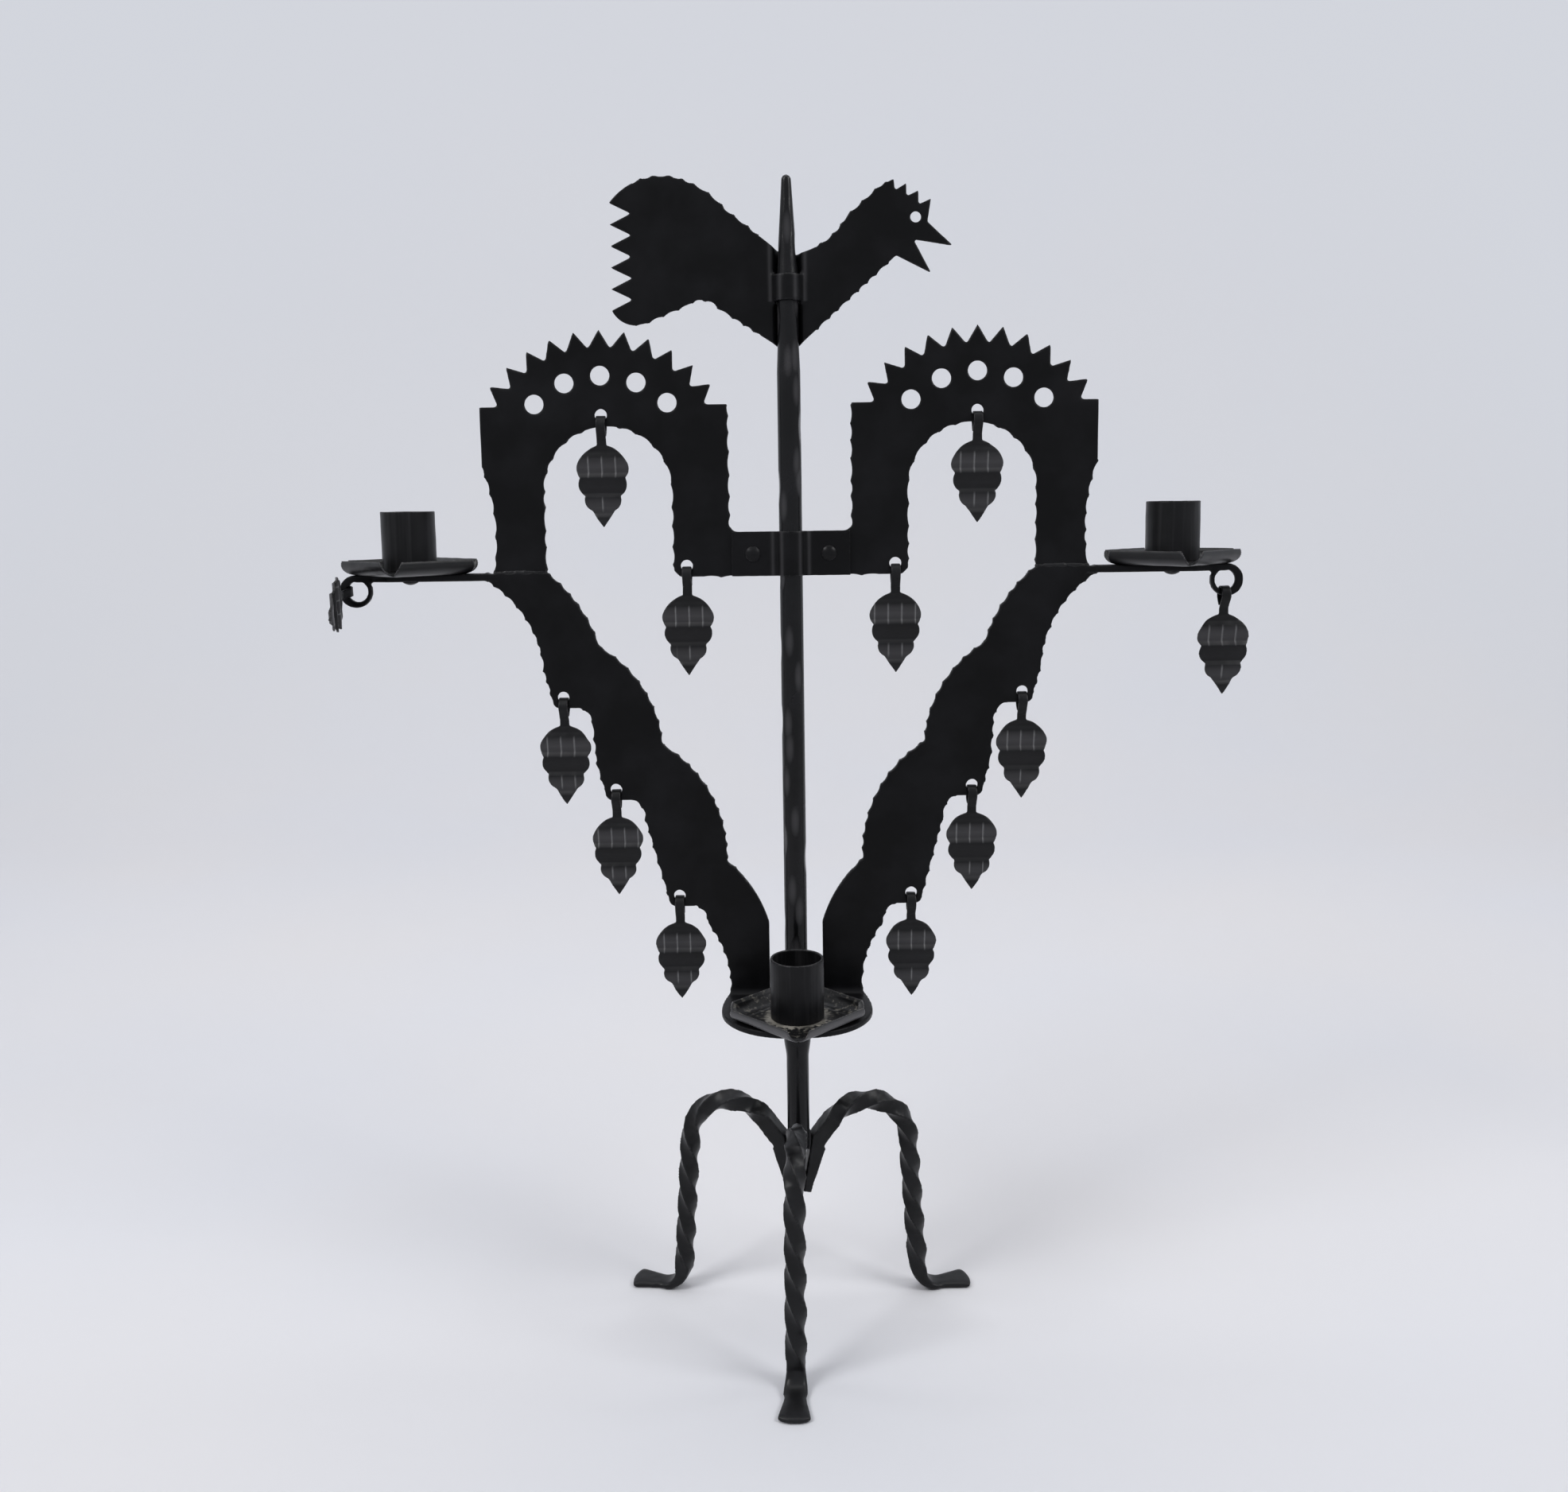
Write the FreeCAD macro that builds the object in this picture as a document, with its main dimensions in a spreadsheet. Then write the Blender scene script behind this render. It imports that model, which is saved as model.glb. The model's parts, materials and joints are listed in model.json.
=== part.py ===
import FreeCAD, Part
import math
import os

from FreeCAD import Placement, Rotation, Vector

# A smith's candelabra in sheet and bar iron: a stem on three twisted legs, a rooster on the
# stem's spike, two pierced arches, two serpentine arms, three candle pans and twelve leaves.
# Millimetres, +Z up, +X to the viewer's right, -Y to the viewer. The origin is on the floor
# under the stem. Handed pieces are drawn on the right and mirrored.

doc = FreeCAD.newDocument("candelabra")
sheet = doc.addObject("Spreadsheet::Sheet", "sizes")

SIZES = [
    ("stem_radius", 5.0, "round bar of the stem"),
    ("stem_foot_z", 84.0, "lower end of the stem"),
    ("spike_rise", 51.0, "tip of the spike over the rooster's strip"),
    ("spike_length", 46.0, "taper at the top of the stem"),
    ("spike_tip_radius", 2.3, "rounded tip"),
    ("shoulder_radius", 7.5, "upset shoulder that carries the arms"),
    ("shoulder_height", 12.0, "taper below the shoulder"),
    ("weld_gap", 0.1, "between pieces welded to the stem"),
    ("leg_bar", 8.0, "square bar of the legs"),
    ("tail_z", 60.0, "tips of the legs' tails under the stem"),
    ("tail_bar", 4.0, "square tip of a tail"),
    ("tail_radius", 3.8, "middle of a tail's tip to the stem's axis"),
    ("leg_twist_length", 62.0, "one turn of the twist"),
    ("leg_arch_radius", 22.5, "bend over the top of a leg"),
    ("leg_arch_reach", 34.5, "middle of that bend to the stem's axis"),
    ("leg_lean", 40.0, "degrees of the bar between the stem and that bend"),
    ("leg_top_z", 104.5, "middle of the bar at the top of a leg"),
    ("leg_splay", 4.0, "degrees that a leg leans outward"),
    ("leg_foot_bend", 10.0, "bend above the foot"),
    ("foot_width", 16.0, "flattened foot"),
    ("foot_length", 18.0, "flattened foot, heel to toe"),
    ("foot_thickness", 3.0, "flattened foot"),
    ("foot_bulge", 2.2, "rounding of the toe's edge"),
    ("front_leg_turn", 2.7, "degrees that the front leg turns to the left"),
    ("left_leg_turn", 15.0, "degrees that the left leg turns to the back"),
    ("right_leg_turn", 12.0, "degrees that the right leg turns to the back"),
    ("arch_thickness", 2.0, "sheet of the arches"),
    ("arch_centre_x", 88.3, "centre of the crown"),
    ("arch_rise", 47.3, "centre of the crown over the arm's top"),
    ("tooth_count", 11, "teeth of the crown"),
    ("tooth_pitch", 10.5, "degrees from tooth to tooth"),
    ("tooth_tip_radius", 65.3, "tips of the teeth"),
    ("tooth_root_radius", 56.8, "valleys of the teeth"),
    ("arch_inner_x", 29.0, "edge beside the stem"),
    ("arch_outer_x", 145.0, "outer edge at the shoulders"),
    ("arch_waist", 5.5, "drawn-in outer edge above the arm"),
    ("arch_knee", 28.0, "shoulder to the start of the waist"),
    ("arch_toe", 1.5, "outer edge turned out again on the arm"),
    ("opening_x", 85.9, "middle of the opening"),
    ("opening_radius", 30.3, "half the width of the opening"),
    ("opening_rise", 20.7, "top of the opening over the centre of the crown"),
    ("crossbar_drop", 3.0, "lower edge of the crossbar below the arm's top"),
    ("crossbar_height", 21.0, "crossbar and strap"),
    ("crossbar_fillet", 4.0, "corner above the crossbar"),
    ("corner_cut", 3.0, "cut corner of the inner leg"),
    ("piercing_count", 5, "round holes in the crown"),
    ("piercing_pitch", 22.4, "degrees from hole to hole"),
    ("piercing_inset", 12.6, "valleys of the teeth to the middle of the holes"),
    ("piercing_radius", 4.5, "round holes"),
    ("hook_hole_radius", 2.85, "holes that the leaves hang in"),
    ("hook_margin", 2.4, "metal under a leaf hole"),
    ("corner_leaf_x", 49.5, "leaf hole in the crossbar corner"),
    ("tab_gap", 1.0, "end of the crossbar to the straps' bends"),
    ("strap_thickness", 1.5, "clamp straps on the stem"),
    ("strap_reach", 28.0, "half the length of a strap"),
    ("strap_bend", 2.0, "bends beside the stem"),
    ("strap_slope", 50.0, "degrees of the strap beside the stem"),
    ("strap_rivet_x", 18.0, "rivets of the strap"),
    ("strap_rivet_head", 4.0, "radius of the rivet heads"),
    ("rivet_radius", 2.0, "rivet shanks"),
    ("rivet_dome", 1.6, "height of a rivet head"),
    ("arm_thickness", 3.0, "sheet of the arms"),
    ("bar_top_z", 372.0, "top of the arm and of its bar"),
    ("bar_thickness", 3.5, "bar under a side pan"),
    ("bar_width", 9.0, "bar under a side pan"),
    ("bar_lap", 9.0, "bar let into the edge of the arm's sheet"),
    ("bar_flare", 6.0, "edge of the sheet to the bar's full width"),
    ("bar_draw", 8.0, "bar drawn narrow before the eye"),
    ("upper_leaf_x", 110.0, "first leaf hole of the arm"),
    ("upper_leaf_rise", 0.712, "first leaf hole, share of the arm's height"),
    ("middle_leaf_x", 86.0, "second leaf hole"),
    ("middle_leaf_rise", 0.495, "second leaf hole, share of the arm's height"),
    ("lower_leaf_x", 56.5, "third leaf hole"),
    ("lower_leaf_rise", 0.2406, "third leaf hole, share of the arm's height"),
    ("arm_swell", 38.0, "width of the arm across a swell"),
    ("arm_foot_inner_x", 13.0, "inner edge at the foot of the arm"),
    ("arm_foot_outer_x", 32.6, "outer edge at the foot of the arm"),
    ("lobe_top_z", 163.5, "lobes under the front pan"),
    ("lobe_reach_x", 36.0, "lobes, half the width of the pair"),
    ("lobe_depth", 50.0, "lobes, forward of the stem"),
    ("lobe_seam", 0.5, "half the seam between the lobes"),
    ("lobe_bend", 3.0, "inside bend from arm to lobe"),
    ("eye_reach", 26.0, "rolled eye, from the middle of the pan"),
    ("eye_radius", 7.8, "outside of the eye"),
    ("eye_bore", 5.0, "inside of the eye"),
    ("eye_shift", 0.9, "the eye's bar thins towards its tip"),
    ("eye_width", 3.0, "bar of the eye, front to back"),
    ("pan_base", 34.0, "side of a pan's floor"),
    ("pan_rim", 51.5, "side of a pan's rim"),
    ("pan_height", 6.0, "floor to rim"),
    ("pan_wall", 1.2, "sheet of the pans"),
    ("pan_notch", 7.0, "open corner of the rim, along each side"),
    ("pan_x", 181.0, "side pans"),
    ("pan_stem_gap", 5.0, "front pan's floor to the stem"),
    ("socket_radius", 12.5, "outside of a candle socket"),
    ("socket_bore", 11.25, "inside of a candle socket"),
    ("socket_height", 28.5, "candle socket"),
    ("front_rivet_x", 7.0, "the two rivets of the front pan"),
    ("rooster_thickness", 1.6, "sheet of the rooster"),
    ("rooster_clearance", 0.3, "rooster to stem"),
    ("rooster_width", 158.5, "tail to beak"),
    ("rooster_gap", 2.2, "tail over the tips of the crowns"),
    ("rooster_strip_height", 12.0, "strip in front of the stem"),
    ("rooster_eye_radius", 2.5, "eye hole"),
    ("tail_notch", 10.0, "depth of the tail's notches"),
    ("tail_tips", 6, "points of the tail"),
    ("leaf_thickness", 1.0, "sheet of the leaves"),
    ("leaf_width", 24.6, "blade"),
    ("leaf_length", 38.5, "blade"),
    ("leaf_neck", 4.5, "strip that makes the hook"),
    ("leaf_loop", 3.3, "inside radius of the hook"),
    ("leaf_loop_slope", 35.0, "degrees of the hook's sides"),
    ("leaf_neck_bend", 2.0, "bend from neck to hook"),
    ("leaf_neck_length", 2.2, "straight neck between blade and hook"),
    ("leaf_waves", 8, "half waves of the blade's corrugation"),
    ("leaf_wave_turn", 28.0, "degrees that each corrugation leans"),
    ("leaf_seat_gap", 0.3, "hook to the metal it hangs on"),
    ("jammed_leaf_turn", 10.0, "degrees that the left eye's leaf points inward"),
    ("jammed_leaf_droop", 12.0, "degrees that it points down"),
]
for row, (alias, value, note) in enumerate(SIZES, start=1):
    sheet.set("A%d" % row, alias)
    sheet.set("B%d" % row, str(value))
    sheet.setAlias("B%d" % row, alias)
    sheet.set("C%d" % row, note)
doc.recompute()


def size(alias):
    return float(sheet.get(alias))


# Heights that follow from others.

def arch_centre():
    return size("arch_centre_x"), size("bar_top_z") + size("arch_rise")


def opening_top():
    return arch_centre()[1] + size("opening_rise")


def crossbar_bottom():
    return size("bar_top_z") - size("crossbar_drop")


CROSSBAR_BOTTOM = "sizes.bar_top_z - sizes.crossbar_drop"
ROOSTER_DRAWN = 157.0  # the rooster's outline is drawn for this width
TAIL_SAG = 15.2  # lowest point of the drawn tail below the middle of the strip
STRIP_Z = (
    "sizes.bar_top_z + sizes.arch_rise + sizes.tooth_tip_radius + sizes.rooster_gap"
    " + %g * sizes.rooster_width / %g" % (TAIL_SAG, ROOSTER_DRAWN)
)
STEM_TOP = STRIP_Z + " + sizes.spike_rise"


def strip_z():
    """Middle of the rooster's strip, with the tail just over the crowns."""
    crown_top = arch_centre()[1] + size("tooth_tip_radius")
    return crown_top + size("rooster_gap") + TAIL_SAG * size("rooster_width") / ROOSTER_DRAWN


nodes = []


def node(obj, label):
    """Name a finished sub-part; the name is also its file's."""
    obj.Label = label
    nodes.append(obj)
    return obj


def bind(obj, **cells):
    """Tie an object's properties to expressions in the sheet's cells."""
    for prop, expression in cells.items():
        obj.setExpression(prop, expression)
    return obj


# Drawing helpers in a sketch's own plane.

def line(start, end):
    return Part.LineSegment(Vector(*start, 0), Vector(*end, 0))


def arc(start, via, end):
    return Part.Arc(Vector(*start, 0), Vector(*via, 0), Vector(*end, 0))


def circle(centre, radius):
    return Part.Circle(Vector(*centre, 0), Vector(0, 0, 1), radius)


def polyline(points):
    return [line(a, b) for a, b in zip(points, points[1:])]


def polar(centre, radius, degrees):
    turn = math.radians(degrees)
    return (centre[0] + radius * math.cos(turn), centre[1] + radius * math.sin(turn))


def band(start, heading, steps, thickness):
    """Outline of a strip bent in its plane: steps are lines (length,) and bends (radius, turn)."""
    sides = {1: [], -1: []}
    point, angle = Vector(*start, 0), math.radians(heading)
    for step in steps:
        ahead = Vector(math.cos(angle), math.sin(angle), 0)
        left = Vector(-ahead.y, ahead.x, 0)
        if len(step) == 1:
            end = point + ahead * step[0]
            for side in sides:
                shift = left * (side * thickness / 2)
                sides[side].append(Part.LineSegment(point + shift, end + shift))
            point = end
            continue
        radius, turn = step[0], math.radians(step[1])
        way = 1 if turn > 0 else -1
        centre = point + left * (way * radius)
        spoke = left * -way
        for side in sides:
            reach = radius - way * side * thickness / 2
            places = [
                centre + Rotation(Vector(0, 0, 1), math.degrees(turn * share)).multVec(spoke) * reach
                for share in (0, 0.5, 1)
            ]
            sides[side].append(Part.Arc(*places))
        point = centre + Rotation(Vector(0, 0, 1), math.degrees(turn)).multVec(spoke) * radius
        angle += turn
    first, last = sides[1], sides[-1]
    caps = [
        Part.LineSegment(first[0].StartPoint, last[0].StartPoint),
        Part.LineSegment(first[-1].EndPoint, last[-1].EndPoint),
    ]
    return first + last + caps


def pad(name, plane, outline, length, base="0", middle=True):
    """A body of one sketch, padded by a cell's length; base shifts the sketch along its normal."""
    body = doc.addObject("PartDesign::Body", name)
    origin = [f for f in body.Origin.OriginFeatures if f.Role == plane][0]
    sketch = body.newObject("Sketcher::SketchObject", name + "_outline")
    sketch.AttachmentSupport = [(origin, "")]
    sketch.MapMode = "FlatFace"
    sketch.setExpression("AttachmentOffset.Base.z", base)
    sketch.addGeometry(outline, False)
    feature = body.newObject("PartDesign::Pad", name + "_pad")
    feature.Profile = sketch
    feature.Midplane = middle
    feature.setExpression("Length", length)
    return body


def fuse(name, shapes):
    joined = doc.addObject("Part::MultiFuse", name)
    joined.Shapes = shapes
    joined.Refine = True
    return joined


def cut(name, base, tool):
    result = doc.addObject("Part::Cut", name)
    result.Base, result.Tool = base, tool
    return result


def common(name, first, second):
    result = doc.addObject("Part::Common", name)
    result.Base, result.Tool = first, second
    return result


def mirrored(source, label):
    """The left-hand twin of a right-hand piece."""
    twin = doc.addObject("Part::Mirroring", label)
    twin.Source = source
    twin.Normal = Vector(1, 0, 0)
    return node(twin, label)


def solid_feature(name, shape, place=Placement()):
    feature = doc.addObject("Part::Feature", name)
    feature.Shape = shape
    feature.Placement = place
    return feature


# Stem: a shaft, an upset shoulder that the arms rest on, and a blunt spike.

def make_stem():
    shaft = bind(
        doc.addObject("Part::Cylinder", "stem_shaft"),
        Radius="sizes.stem_radius",
        Height=STEM_TOP + " - sizes.spike_length - sizes.stem_foot_z",
    )
    shaft.setExpression("Placement.Base.z", "sizes.stem_foot_z")
    shoulder = bind(
        doc.addObject("Part::Cone", "stem_shoulder"),
        Radius1="sizes.stem_radius",
        Radius2="sizes.shoulder_radius",
        Height="sizes.shoulder_height",
    )
    shoulder.setExpression(
        "Placement.Base.z", "sizes.lobe_top_z - sizes.arm_thickness - sizes.shoulder_height"
    )
    spike = bind(
        doc.addObject("Part::Cone", "stem_spike"),
        Radius1="sizes.stem_radius",
        Radius2="sizes.spike_tip_radius",
        Height="sizes.spike_length - sizes.spike_tip_radius",
    )
    spike.setExpression("Placement.Base.z", STEM_TOP + " - sizes.spike_length")
    tip = bind(doc.addObject("Part::Sphere", "stem_tip"), Radius="sizes.spike_tip_radius")
    tip.setExpression("Placement.Base.z", STEM_TOP + " - sizes.spike_tip_radius")
    node(fuse("stem_whole", [shaft, shoulder, spike, tip]), "stem")


# Legs: square bar whose drawn-out tail starts under the stem; it rises beside the stem, bends
# over, runs down with a twist and is hammered to a flat foot. Drawn along +X and turned.

LEG_STEP = 4.0  # distance between the cross-sections of a leg
HEEL_SHARE = 0.8  # heel's width and thickness, as a share of the foot's


def leg_path():
    """Lengths of a leg's stretches, and a function from length to radius, height and heading."""
    arch, bend, splay = size("leg_arch_radius"), size("leg_foot_bend"), math.radians(size("leg_splay"))
    lean, reach = math.radians(size("leg_lean")), size("leg_arch_reach")
    knee_r = size("stem_radius") + size("weld_gap") + size("leg_bar") / 2
    knee_z, centre_z = size("stem_foot_z"), size("leg_top_z") - arch
    draw = math.atan2(knee_r - size("tail_radius"), knee_z - size("tail_z"))
    slant = (reach - arch * math.cos(lean) - knee_r) / math.sin(lean)
    elbow_z = centre_z + arch * math.sin(lean) - slant * math.cos(lean)
    over, under = math.pi - splay, math.pi / 2 - splay
    drop_r, drop_z = reach - arch * math.cos(over), centre_z + arch * math.sin(over)
    bend_z = size("foot_thickness") / 2 + bend * (1 - math.sin(splay))
    stretches = [
        (knee_z - size("tail_z")) / math.cos(draw), elbow_z - knee_z, slant,
        arch * (over - lean), (drop_z - bend_z) / math.cos(splay), bend * under,
    ]

    def place(s):
        """Radius, height and heading from vertical of the bar's middle line."""
        tail, rise, slope, hoop, fall = stretches[:5]
        if s < tail:
            return size("tail_radius") + s * math.sin(draw), size("tail_z") + s * math.cos(draw), draw
        s -= tail
        if s < rise:
            return knee_r, knee_z + s, 0.0
        s -= rise
        if s < slope:
            return knee_r + s * math.sin(lean), elbow_z + s * math.cos(lean), lean
        s -= slope
        if s < hoop:
            a = lean + s / arch
            return reach - arch * math.cos(a), centre_z + arch * math.sin(a), a
        s -= hoop
        if s < fall:
            return drop_r + s * math.sin(over), drop_z + s * math.cos(over), over
        a = splay + (s - fall) / bend
        bend_r = drop_r + fall * math.sin(over)
        return (
            bend_r + bend * (math.cos(splay) - math.cos(a)),
            bend_z - bend * (math.sin(a) - math.sin(splay)),
            math.pi - a,
        )

    return stretches, place


def leg_sections():
    """Wires of the bar's cross-section from the tail's tip to the heel, and the heel's radius."""
    stretches, place = leg_path()
    bar, tip = size("leg_bar"), size("tail_bar")
    heel_w, heel_t = HEEL_SHARE * size("foot_width"), HEEL_SHARE * size("foot_thickness")
    tail, total = stretches[0], sum(stretches)
    twist_from, twist_to = sum(stretches[:3]), sum(stretches[:5])
    # Whole half turns, so that the foot lies flat.
    half_turns = max(1, round(2 * (twist_to - twist_from) / size("leg_twist_length")))
    count = int(round(total / LEG_STEP))
    marks = [0.0] + [sum(stretches[:k]) for k in range(1, 4)]
    marks = sorted(marks + [total * k / count for k in range(1, count + 1)])
    wires, last = [], -LEG_STEP
    for s in marks:
        if s - last < LEG_STEP / 4:
            continue
        last = s
        r, z, heading = place(s)
        taper = max(0.0, 1 - s / tail)
        spread = max(0.0, (s - twist_to) / (total - twist_to))
        half_w = (bar + (tip - bar) * taper + (heel_w - bar) * spread) / 2
        half_t = (bar + (tip - bar) * taper + (heel_t - bar) * spread) / 2
        turn = math.pi * half_turns * min(max(s - twist_from, 0.0) / (twist_to - twist_from), 1.0)
        side = Vector(0, 1, 0)
        inner = Vector(math.cos(heading), 0, -math.sin(heading))
        corners = []
        for u, v in ((-1, -1), (1, -1), (1, 1), (-1, 1)):
            a, b = u * half_w, v * half_t
            p = a * math.cos(turn) - b * math.sin(turn)
            q = a * math.sin(turn) + b * math.cos(turn)
            corners.append(Vector(r, 0, z) + side * p + inner * q)
        wires.append(Part.makePolygon(corners + corners[:1]))
    return wires, place(total)[0]


def make_legs():
    wires, heel_r = leg_sections()
    bar = Part.makeLoft(wires, True, True)
    width, length, neck = size("foot_width"), size("foot_length"), size("leg_bar")
    heel, toe = heel_r - neck / 2, heel_r + length
    ball = toe - size("foot_bulge")
    outline = polyline([(ball, width / 2), (heel, neck / 2), (heel, -neck / 2), (ball, -width / 2)])
    outline.append(arc((ball, -width / 2), (toe, 0), (ball, width / 2)))
    face = Part.Face(Part.Wire([edge.toShape() for edge in outline]))
    leg = bar.fuse(face.extrude(Vector(0, 0, size("foot_thickness")))).removeSplitter().Solids[0]
    azimuths = {
        "front": -90 - size("front_leg_turn"),
        "right": size("right_leg_turn"),
        "left": 180 - size("left_leg_turn"),
    }
    for where, azimuth in azimuths.items():
        place = Placement(Vector(), Rotation(Vector(0, 0, 1), azimuth))
        node(solid_feature("leg_" + where, leg.copy(), place), "leg_" + where)


# Arches: a pierced sheet with a sawtooth crown, an opening, an inner leg that turns into the
# crossbar and an outer leg that stands on the arm.

WAIST_SHARE = 0.45  # height of the waist between the foot and the knee


def hook_hole(x, bottom_edge):
    return (x, bottom_edge + size("hook_margin") + size("hook_hole_radius"))


def tab_end():
    """Where the crossbar stops beside the stem, clear of the straps' bends."""
    return strap_half_width() + size("tab_gap")


def make_arches():
    centre = arch_centre()
    teeth, pitch = int(size("tooth_count")), size("tooth_pitch")
    inner, outer = size("arch_inner_x"), size("arch_outer_x")
    bottom = crossbar_bottom()
    top = bottom + size("crossbar_height")
    fillet, chamfer = size("crossbar_fillet"), size("corner_cut")
    span = teeth * pitch
    crown = [polar(centre, size("tooth_root_radius"), 90 + span / 2)]
    for k in range(teeth):
        tip = 90 + span / 2 - pitch * (k + 0.5)
        crown.append(polar(centre, size("tooth_tip_radius"), tip))
        crown.append(polar(centre, size("tooth_root_radius"), tip - pitch / 2))
    shoulder = crown[0][1]
    opening = size("opening_x"), size("opening_radius")
    near, far = opening[0] - opening[1], opening[0] + opening[1]
    springing = opening_top() - opening[1]
    foot, knee = size("bar_top_z"), shoulder - size("arch_knee")
    waist = size("arch_waist")
    foot_outer = outer - waist + size("arch_toe")
    drawn = (outer - waist, foot + (knee - foot) * WAIST_SHARE)
    tab = tab_end()
    outline = polyline([(tab, bottom), (tab, top), (inner - fillet, top)])
    corner = fillet * (1 - math.sqrt(0.5))
    outline.append(
        arc((inner - fillet, top), (inner - corner, top + corner), (inner, top + fillet))
    )
    outline += polyline([(inner, top + fillet), (inner, shoulder)] + crown + [(outer, shoulder)])
    outline.append(line((outer, shoulder), (outer, knee)))
    outline.append(arc((outer, knee), drawn, (foot_outer, foot)))
    outline += polyline([(foot_outer, foot), (far, foot), (far, springing)])
    outline.append(arc((far, springing), (opening[0], opening_top()), (near, springing)))
    outline += polyline([
        (near, springing), (near, bottom + chamfer), (near - chamfer, bottom), (tab, bottom)
    ])
    holes = int(size("piercing_count"))
    for k in range(holes):
        angle = 90 + size("piercing_pitch") * (k - (holes - 1) / 2)
        spot = polar(centre, size("tooth_root_radius") - size("piercing_inset"), angle)
        outline.append(circle(spot, size("piercing_radius")))
    for spot in (
        hook_hole(size("arch_centre_x"), opening_top()),
        hook_hole(size("corner_leaf_x"), bottom),
    ):
        outline.append(circle(spot, size("hook_hole_radius")))
    outline.append(circle((size("strap_rivet_x"), (bottom + top) / 2), size("rivet_radius")))
    arch = node(pad("arch_sheet", "XZ_Plane", outline, "sizes.arch_thickness"), "arch_right")
    mirrored(arch, "arch_left")


# Straps: two strips bent round the front and the back of the stem, with the arches' tabs
# riveted between them.

def saddle(flat_y, thickness, clearance, slope, bend, reach=None):
    """Strip in plan that lies at flat_y and bends round the stem's -Y side; and its half width."""
    middle = size("stem_radius") + clearance + thickness / 2
    lean = math.radians(slope)
    run = (flat_y + middle * math.cos(lean) - bend * (1 - math.cos(lean))) / math.sin(lean)
    half = bend * math.sin(lean) + run * math.cos(lean) + middle * math.sin(lean)
    flat = [(reach - half,)] if reach else []
    steps = [(bend, -slope), (run,), (middle, 2 * slope), (run,), (bend, -slope)]
    start = (-(reach or half), flat_y)
    return band(start, 0, flat + steps + flat, thickness), half


def strap_plan():
    flat_y = -(size("arch_thickness") + size("strap_thickness")) / 2
    return saddle(
        flat_y, size("strap_thickness"), size("weld_gap"), size("strap_slope"),
        size("strap_bend"), size("strap_reach"),
    )


def strap_half_width():
    return strap_plan()[1]


def rivet(head_z, end_z, head_radius, both=False):
    """Rivet along Z with a domed head below head_z, flush or domed at end_z."""
    shank = Part.makeCylinder(
        size("rivet_radius"), end_z - head_z, Vector(0, 0, head_z)
    )
    dome = size("rivet_dome")
    ball = (head_radius ** 2 + dome ** 2) / (2 * dome)
    keep = Part.makeCylinder(head_radius, dome, Vector(0, 0, head_z - dome))
    head = Part.makeSphere(ball, Vector(0, 0, head_z - dome + ball)).common(keep)
    shape = shank.fuse(head)
    if both:
        middle = (head_z + end_z) / 2
        shape = shape.fuse(head.mirror(Vector(0, 0, middle), Vector(0, 0, 1)))
    return shape.removeSplitter().Solids[0]


def make_straps():
    plan = strap_plan()[0]
    bar = pad("strap_bar", "XY_Plane", plan, "sizes.crossbar_height", CROSSBAR_BOTTOM, False)
    middle = crossbar_bottom() + size("crossbar_height") / 2
    holes = []
    for sign in (-1, 1):
        hole = bind(
            doc.addObject("Part::Cylinder", "strap_hole"),
            Radius="sizes.rivet_radius",
            Height="sizes.arch_thickness + 4 * sizes.strap_thickness",
        )
        hole.Placement = Placement(
            Vector(sign * size("strap_rivet_x"), size("arch_thickness"), middle),
            Rotation(Vector(1, 0, 0), 90),
        )
        holes.append(hole)
    front = node(cut("strap_drilled", bar, fuse("strap_holes", holes)), "strap_front")
    back = doc.addObject("Part::Mirroring", "strap_behind")
    back.Source = front
    back.Normal = Vector(0, 1, 0)
    node(back, "strap_back")
    reach = size("arch_thickness") / 2 + size("strap_thickness")
    one = rivet(-reach, reach, size("strap_rivet_head"), both=True)
    one.rotate(Vector(), Vector(1, 0, 0), 90)
    pair = []
    for sign in (-1, 1):
        copy = one.copy()
        copy.translate(Vector(sign * size("strap_rivet_x"), 0, middle))
        pair.append(copy)
    node(solid_feature("strap_rivet_pair", Part.makeCompound(pair)), "strap_rivets")


# Arms: a serpentine sheet with three hanging lobes, a bar with a rolled eye at its top and a
# lobe bent forward under the front pan at its foot.

LEAF_STEPS = ("upper", "middle", "lower")


def arm_hole(which):
    low, high = size("lobe_top_z"), size("bar_top_z")
    return (size(which + "_leaf_x"), low + (high - low) * size(which + "_leaf_rise"))


ARM_DRAWN = 38.0  # the arm's swells are drawn for this width
# Inner edge: the knees and the swells between them, each from the leaf hole beside it.
ARM_KNEES = (("lower", -23.5, 17.0), ("middle", -23.0, 21.5), ("upper", -18.0, 24.0))
ARM_SWELLS = (("lower", -36.0, 2.5), ("middle", -41.5, 4.0), ("upper", -35.5, 8.0), ("upper", -4.0, 50.0))
FOOT_KNEE = -14.0  # start of the first swell below the lowest leaf hole
# Outer edge: the side above a leaf hole and the tuck beside it, from the hole's middle.
EDGE_SIDE, EDGE_TUCK = (9.0, 12.5), (5.2, -1.8)
# The lip under a leaf hole, from the hole's middle and the lip's lower edge.
LIP_ROUND, LIP_TOE, LIP_HEEL, LIP_HOLLOW, LIP_END = (
    (4.3, 1.1), (1.8, 0.0), (-8.0, 0.0), (-11.8, -2.9), (-13.5, -9.0)
)
TOP_HOLLOW = (-3.0, 7.0)  # bend under the bar, from the middle of its ends
FOOT_SWELL = (3.0, 6.0)  # bend over the foot, from the foot's edge and half its height


def beside_hole(which, x, z):
    """A point drawn from a leaf hole, at the arm's real width."""
    hole, share = arm_hole(which), size("arm_swell") / ARM_DRAWN
    return (hole[0] + x * share, hole[1] + z * share)


def bent(start, end, x, z):
    """A point aside from the middle between two others."""
    return ((start[0] + end[0]) / 2 + x, (start[1] + end[1]) / 2 + z)


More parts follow.
